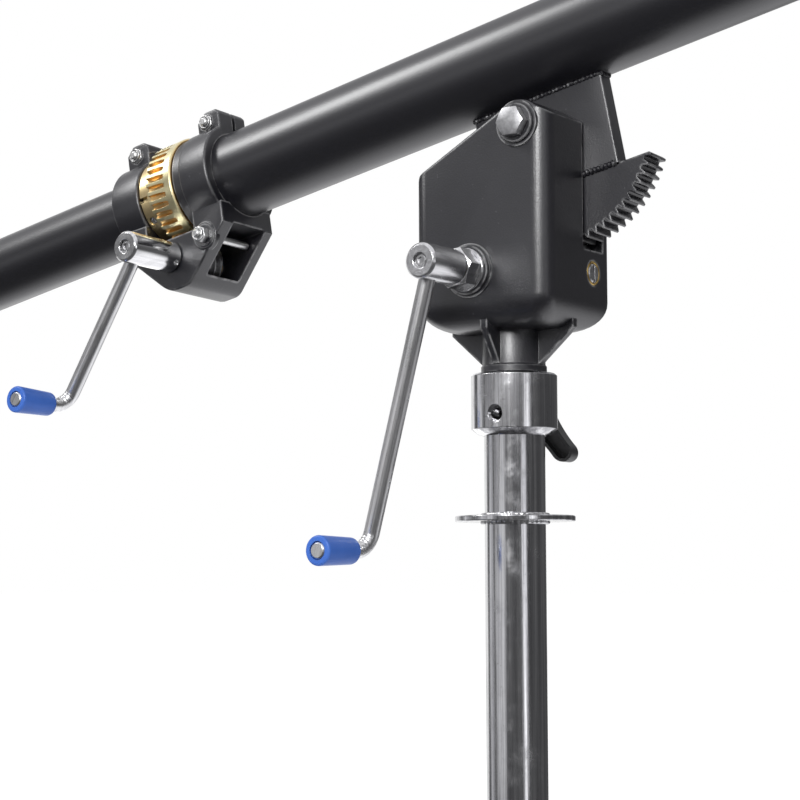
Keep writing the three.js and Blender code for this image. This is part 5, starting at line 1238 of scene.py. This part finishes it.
def make_rear_end():
    rear, inner, tube = BOOM_TUBE["rear"], 26.8, BOOM_TUBE["radius"]
    plug = turned([(0, rear - 24), (inner - 0.8, rear - 24), (inner, rear - 23), (inner, rear + 0.3),
                   (tube - 0.4, rear + 0.3), (tube, rear + 0.7)] + arc(tube - 2, rear + 4.3, 2, 0, QUARTER, 6)
                  + [(20, rear + 6.3), (19, rear + 5.5), (0, rear + 5.5)], 120)
    piece("rear_plug_form", plug, BOOM @ ALONG_X, BLACK_PLASTIC, "rear_plug")
    k = WEIGHT_RING
    s, half, depth = rear - k["from_end"], k["pad_half"], k["pad_depth"]
    ring = put(turned(arc(k["radius"], 0, k["wire"], 0, TURN, 20)[:-1], 96, ring=True), ALONG_Y)
    pad = soften(block(s - half, s + half, -depth, depth, k["centre"] + 14, PLATE["top"]), 1.2)
    saddle = put(bar(SADDLE, s - 20, s + 20, 160), ALONG_X)
    form = cut(add(moved(ring, s, 0, k["centre"]), pad), saddle)
    piece("weight_ring_form", form, BOOM, STEEL, "weight_ring")
    for number, y in enumerate((-depth, depth), 1):
        level = under_tube(y, 0.5)
        weld(f"ring_weld_{number}", [(s - 10, y, level), (s + 10, y, level)], 1.6, 0.22, 1.9)


def make_tube_bushes():
    k = TUBE_BUSH
    for name, low in (("tube_bush_front", BOOM_TUBE["front"] + 0.5),
                      ("tube_bush_rear", FRONT_TUBE["rear"] - k["length"] - 0.5)):
        ring = ring_form(k["bore"], k["radius"], low, low + k["length"], 120, 0.5, 0.5)
        piece(name + "_form", put(ring, ALONG_X), BOOM, NYLON, name)


for build in (make_column, make_lever, make_housing, make_cover, make_pivot, make_crank_nut, make_boom, make_sector,
              make_plate, make_worms, make_bracket, make_bracket_screws, make_wheel, make_lamp_socket, make_rear_end,
              make_tube_bushes):
    build()
make_crank("tilt_crank", TILT_CRANK, TILT_FRAME, TILT_HUB, TILT_ROD)
make_crank("turn_crank", TURN_CRANK, TURN_FRAME, TURN_HUB, TURN_ROD)

for name, node in frame["nodes"].items():
    node.data.materials.clear()
    node.data.materials.append(FINISH[SLOT_OF[name]])
for name in ("worm_wheel", "wheel_set_screw"):
    frame["nodes"][name].data.materials[0] = BRASS


# Studio
def set_camera():
    """The view of the photograph, solved from its straight edges."""
    yaw, pitch, roll = (math.radians(angle) for angle in (35.57, 4.92, -0.22))
    ahead = Vector((-math.sin(yaw) * math.cos(pitch), math.cos(yaw) * math.cos(pitch), math.sin(pitch)))
    right = Vector((math.cos(yaw), math.sin(yaw), 0))
    up = right.cross(ahead)
    across = right * math.cos(roll) + up * math.sin(roll)
    above = up * math.cos(roll) - right * math.sin(roll)
    camera = bpy.data.objects.new("camera", bpy.data.cameras.new("camera"))
    camera.data.lens, camera.data.sensor_width = 92.53, 36
    camera.data.clip_end = 50
    turn = Matrix((across, above, -ahead)).transposed().to_4x4()
    camera.matrix_world = Matrix.Translation((0.6877, -1.0846, 0.2124)) @ turn
    bpy.context.scene.collection.objects.link(camera)
    bpy.context.scene.camera = camera


DARK_GAP, SOFT_LIGHT, FLOOR_GLOW = 0.10, 0.38, 0.72


def set_world():
    """White behind the object, with soft strips to the left and right and dark gaps between them."""
    world = bpy.data.worlds.new("studio")
    world.use_nodes = True
    graph = Graph(world.node_tree, "Generated")
    up = graph.towards((0.0, 0.0, 1.0))
    level = 1 - (up * up).band(0.004, 0.02)
    backdrop = graph.towards((-0.766, 0.643, 0.0)).band(0.80, 0.92)
    left_strip = graph.towards((-0.956, -0.292, 0.0)).band(0.968, 0.994)
    front_strip = graph.towards((-0.469, -0.883, 0.0)).band(0.89, 0.97)
    right_strip = graph.towards((0.907, -0.41, 0.0)).band(0.978, 0.992)
    corner_glow = graph.towards((0.34, -0.90, 0.28)).band(0.80, 0.97) * up.band(0.08, 0.16)
    below = graph.towards((0.0, 0.94, -0.34)).band(0.16, 0.80) * (up * -1).band(0.15, 0.45)
    studio = (DARK_GAP + (1 - DARK_GAP) * backdrop + 0.7 * left_strip + (0.10 + 0.48 * level) * front_strip
              + (1.0 + 0.5 * level) * right_strip + 0.7 * up.band(0.1, 0.9) + 1.0 * below + 1.2 * corner_glow)
    seen, mirrored = graph.rays("Camera", "Transmission"), graph.rays("Glossy")
    graph.plug(world.node_tree.nodes["Background"].inputs["Color"],
               graph.blend(mirrored * (1 - backdrop), (1, 1, 1), (0.97, 0.97, 1.0)))
    graph.plug(world.node_tree.nodes["Background"].inputs["Strength"],
               SOFT_LIGHT + seen * (1 - SOFT_LIGHT) + mirrored * (studio - SOFT_LIGHT))
    bpy.context.scene.world = world


def set_floor():
    """A white floor that keeps the shadow and leaves the mirrored light to the surroundings."""
    bm = bmesh.new()
    bmesh.ops.create_grid(bm, x_segments=1, y_segments=1, size=20)
    floor = as_object(bm, "floor")
    r = Recipe("white_floor", Base_Color=(0.843, 0.843, 0.843, 1), Roughness=0.9, Specular_IOR_Level=0.0,
               Emission_Strength=1.0)
    r.feed(Emission_Color=r.blend(r.rays("Camera", "Transmission") * FLOOR_GLOW, (0, 0, 0), (1, 1, 1)))
    clear = r.node("ShaderNodeBsdfTransparent", {}, {})
    mixed = r.node("ShaderNodeMixShader", {}, {0: r.rays("Glossy"), 1: Wire(r, r.shader.outputs[0]), 2: clear})
    r.plug(r.tree.nodes["Material Output"].inputs["Surface"], mixed)
    floor.data.materials.append(r.material)


def add_lamp(name, place, target, size, power):
    lamp = bpy.data.lights.new(name, "AREA")
    lamp.shape, lamp.size, lamp.size_y, lamp.energy = "RECTANGLE", size[0], size[1], power
    holder = bpy.data.objects.new(name, lamp)
    holder.location = place
    holder.rotation_euler = (Vector(target) - Vector(place)).to_track_quat("-Z", "Y").to_euler()
    bpy.context.scene.collection.objects.link(holder)


bpy.context.scene.view_settings.view_transform = "Standard"
set_camera()
set_world()
set_floor()
add_lamp("key", (-1.5, -0.85, 1.85), (0, 0, 0.5), (0.5, 0.8), 15)
add_lamp("front", (0.40, -1.52, 0.95), (0, 0, 0.4), (0.35, 0.5), 15)
add_lamp("edge", (1.45, -1.2, 1.1), (0, 0, 0.4), (0.3, 0.6), 0.8)
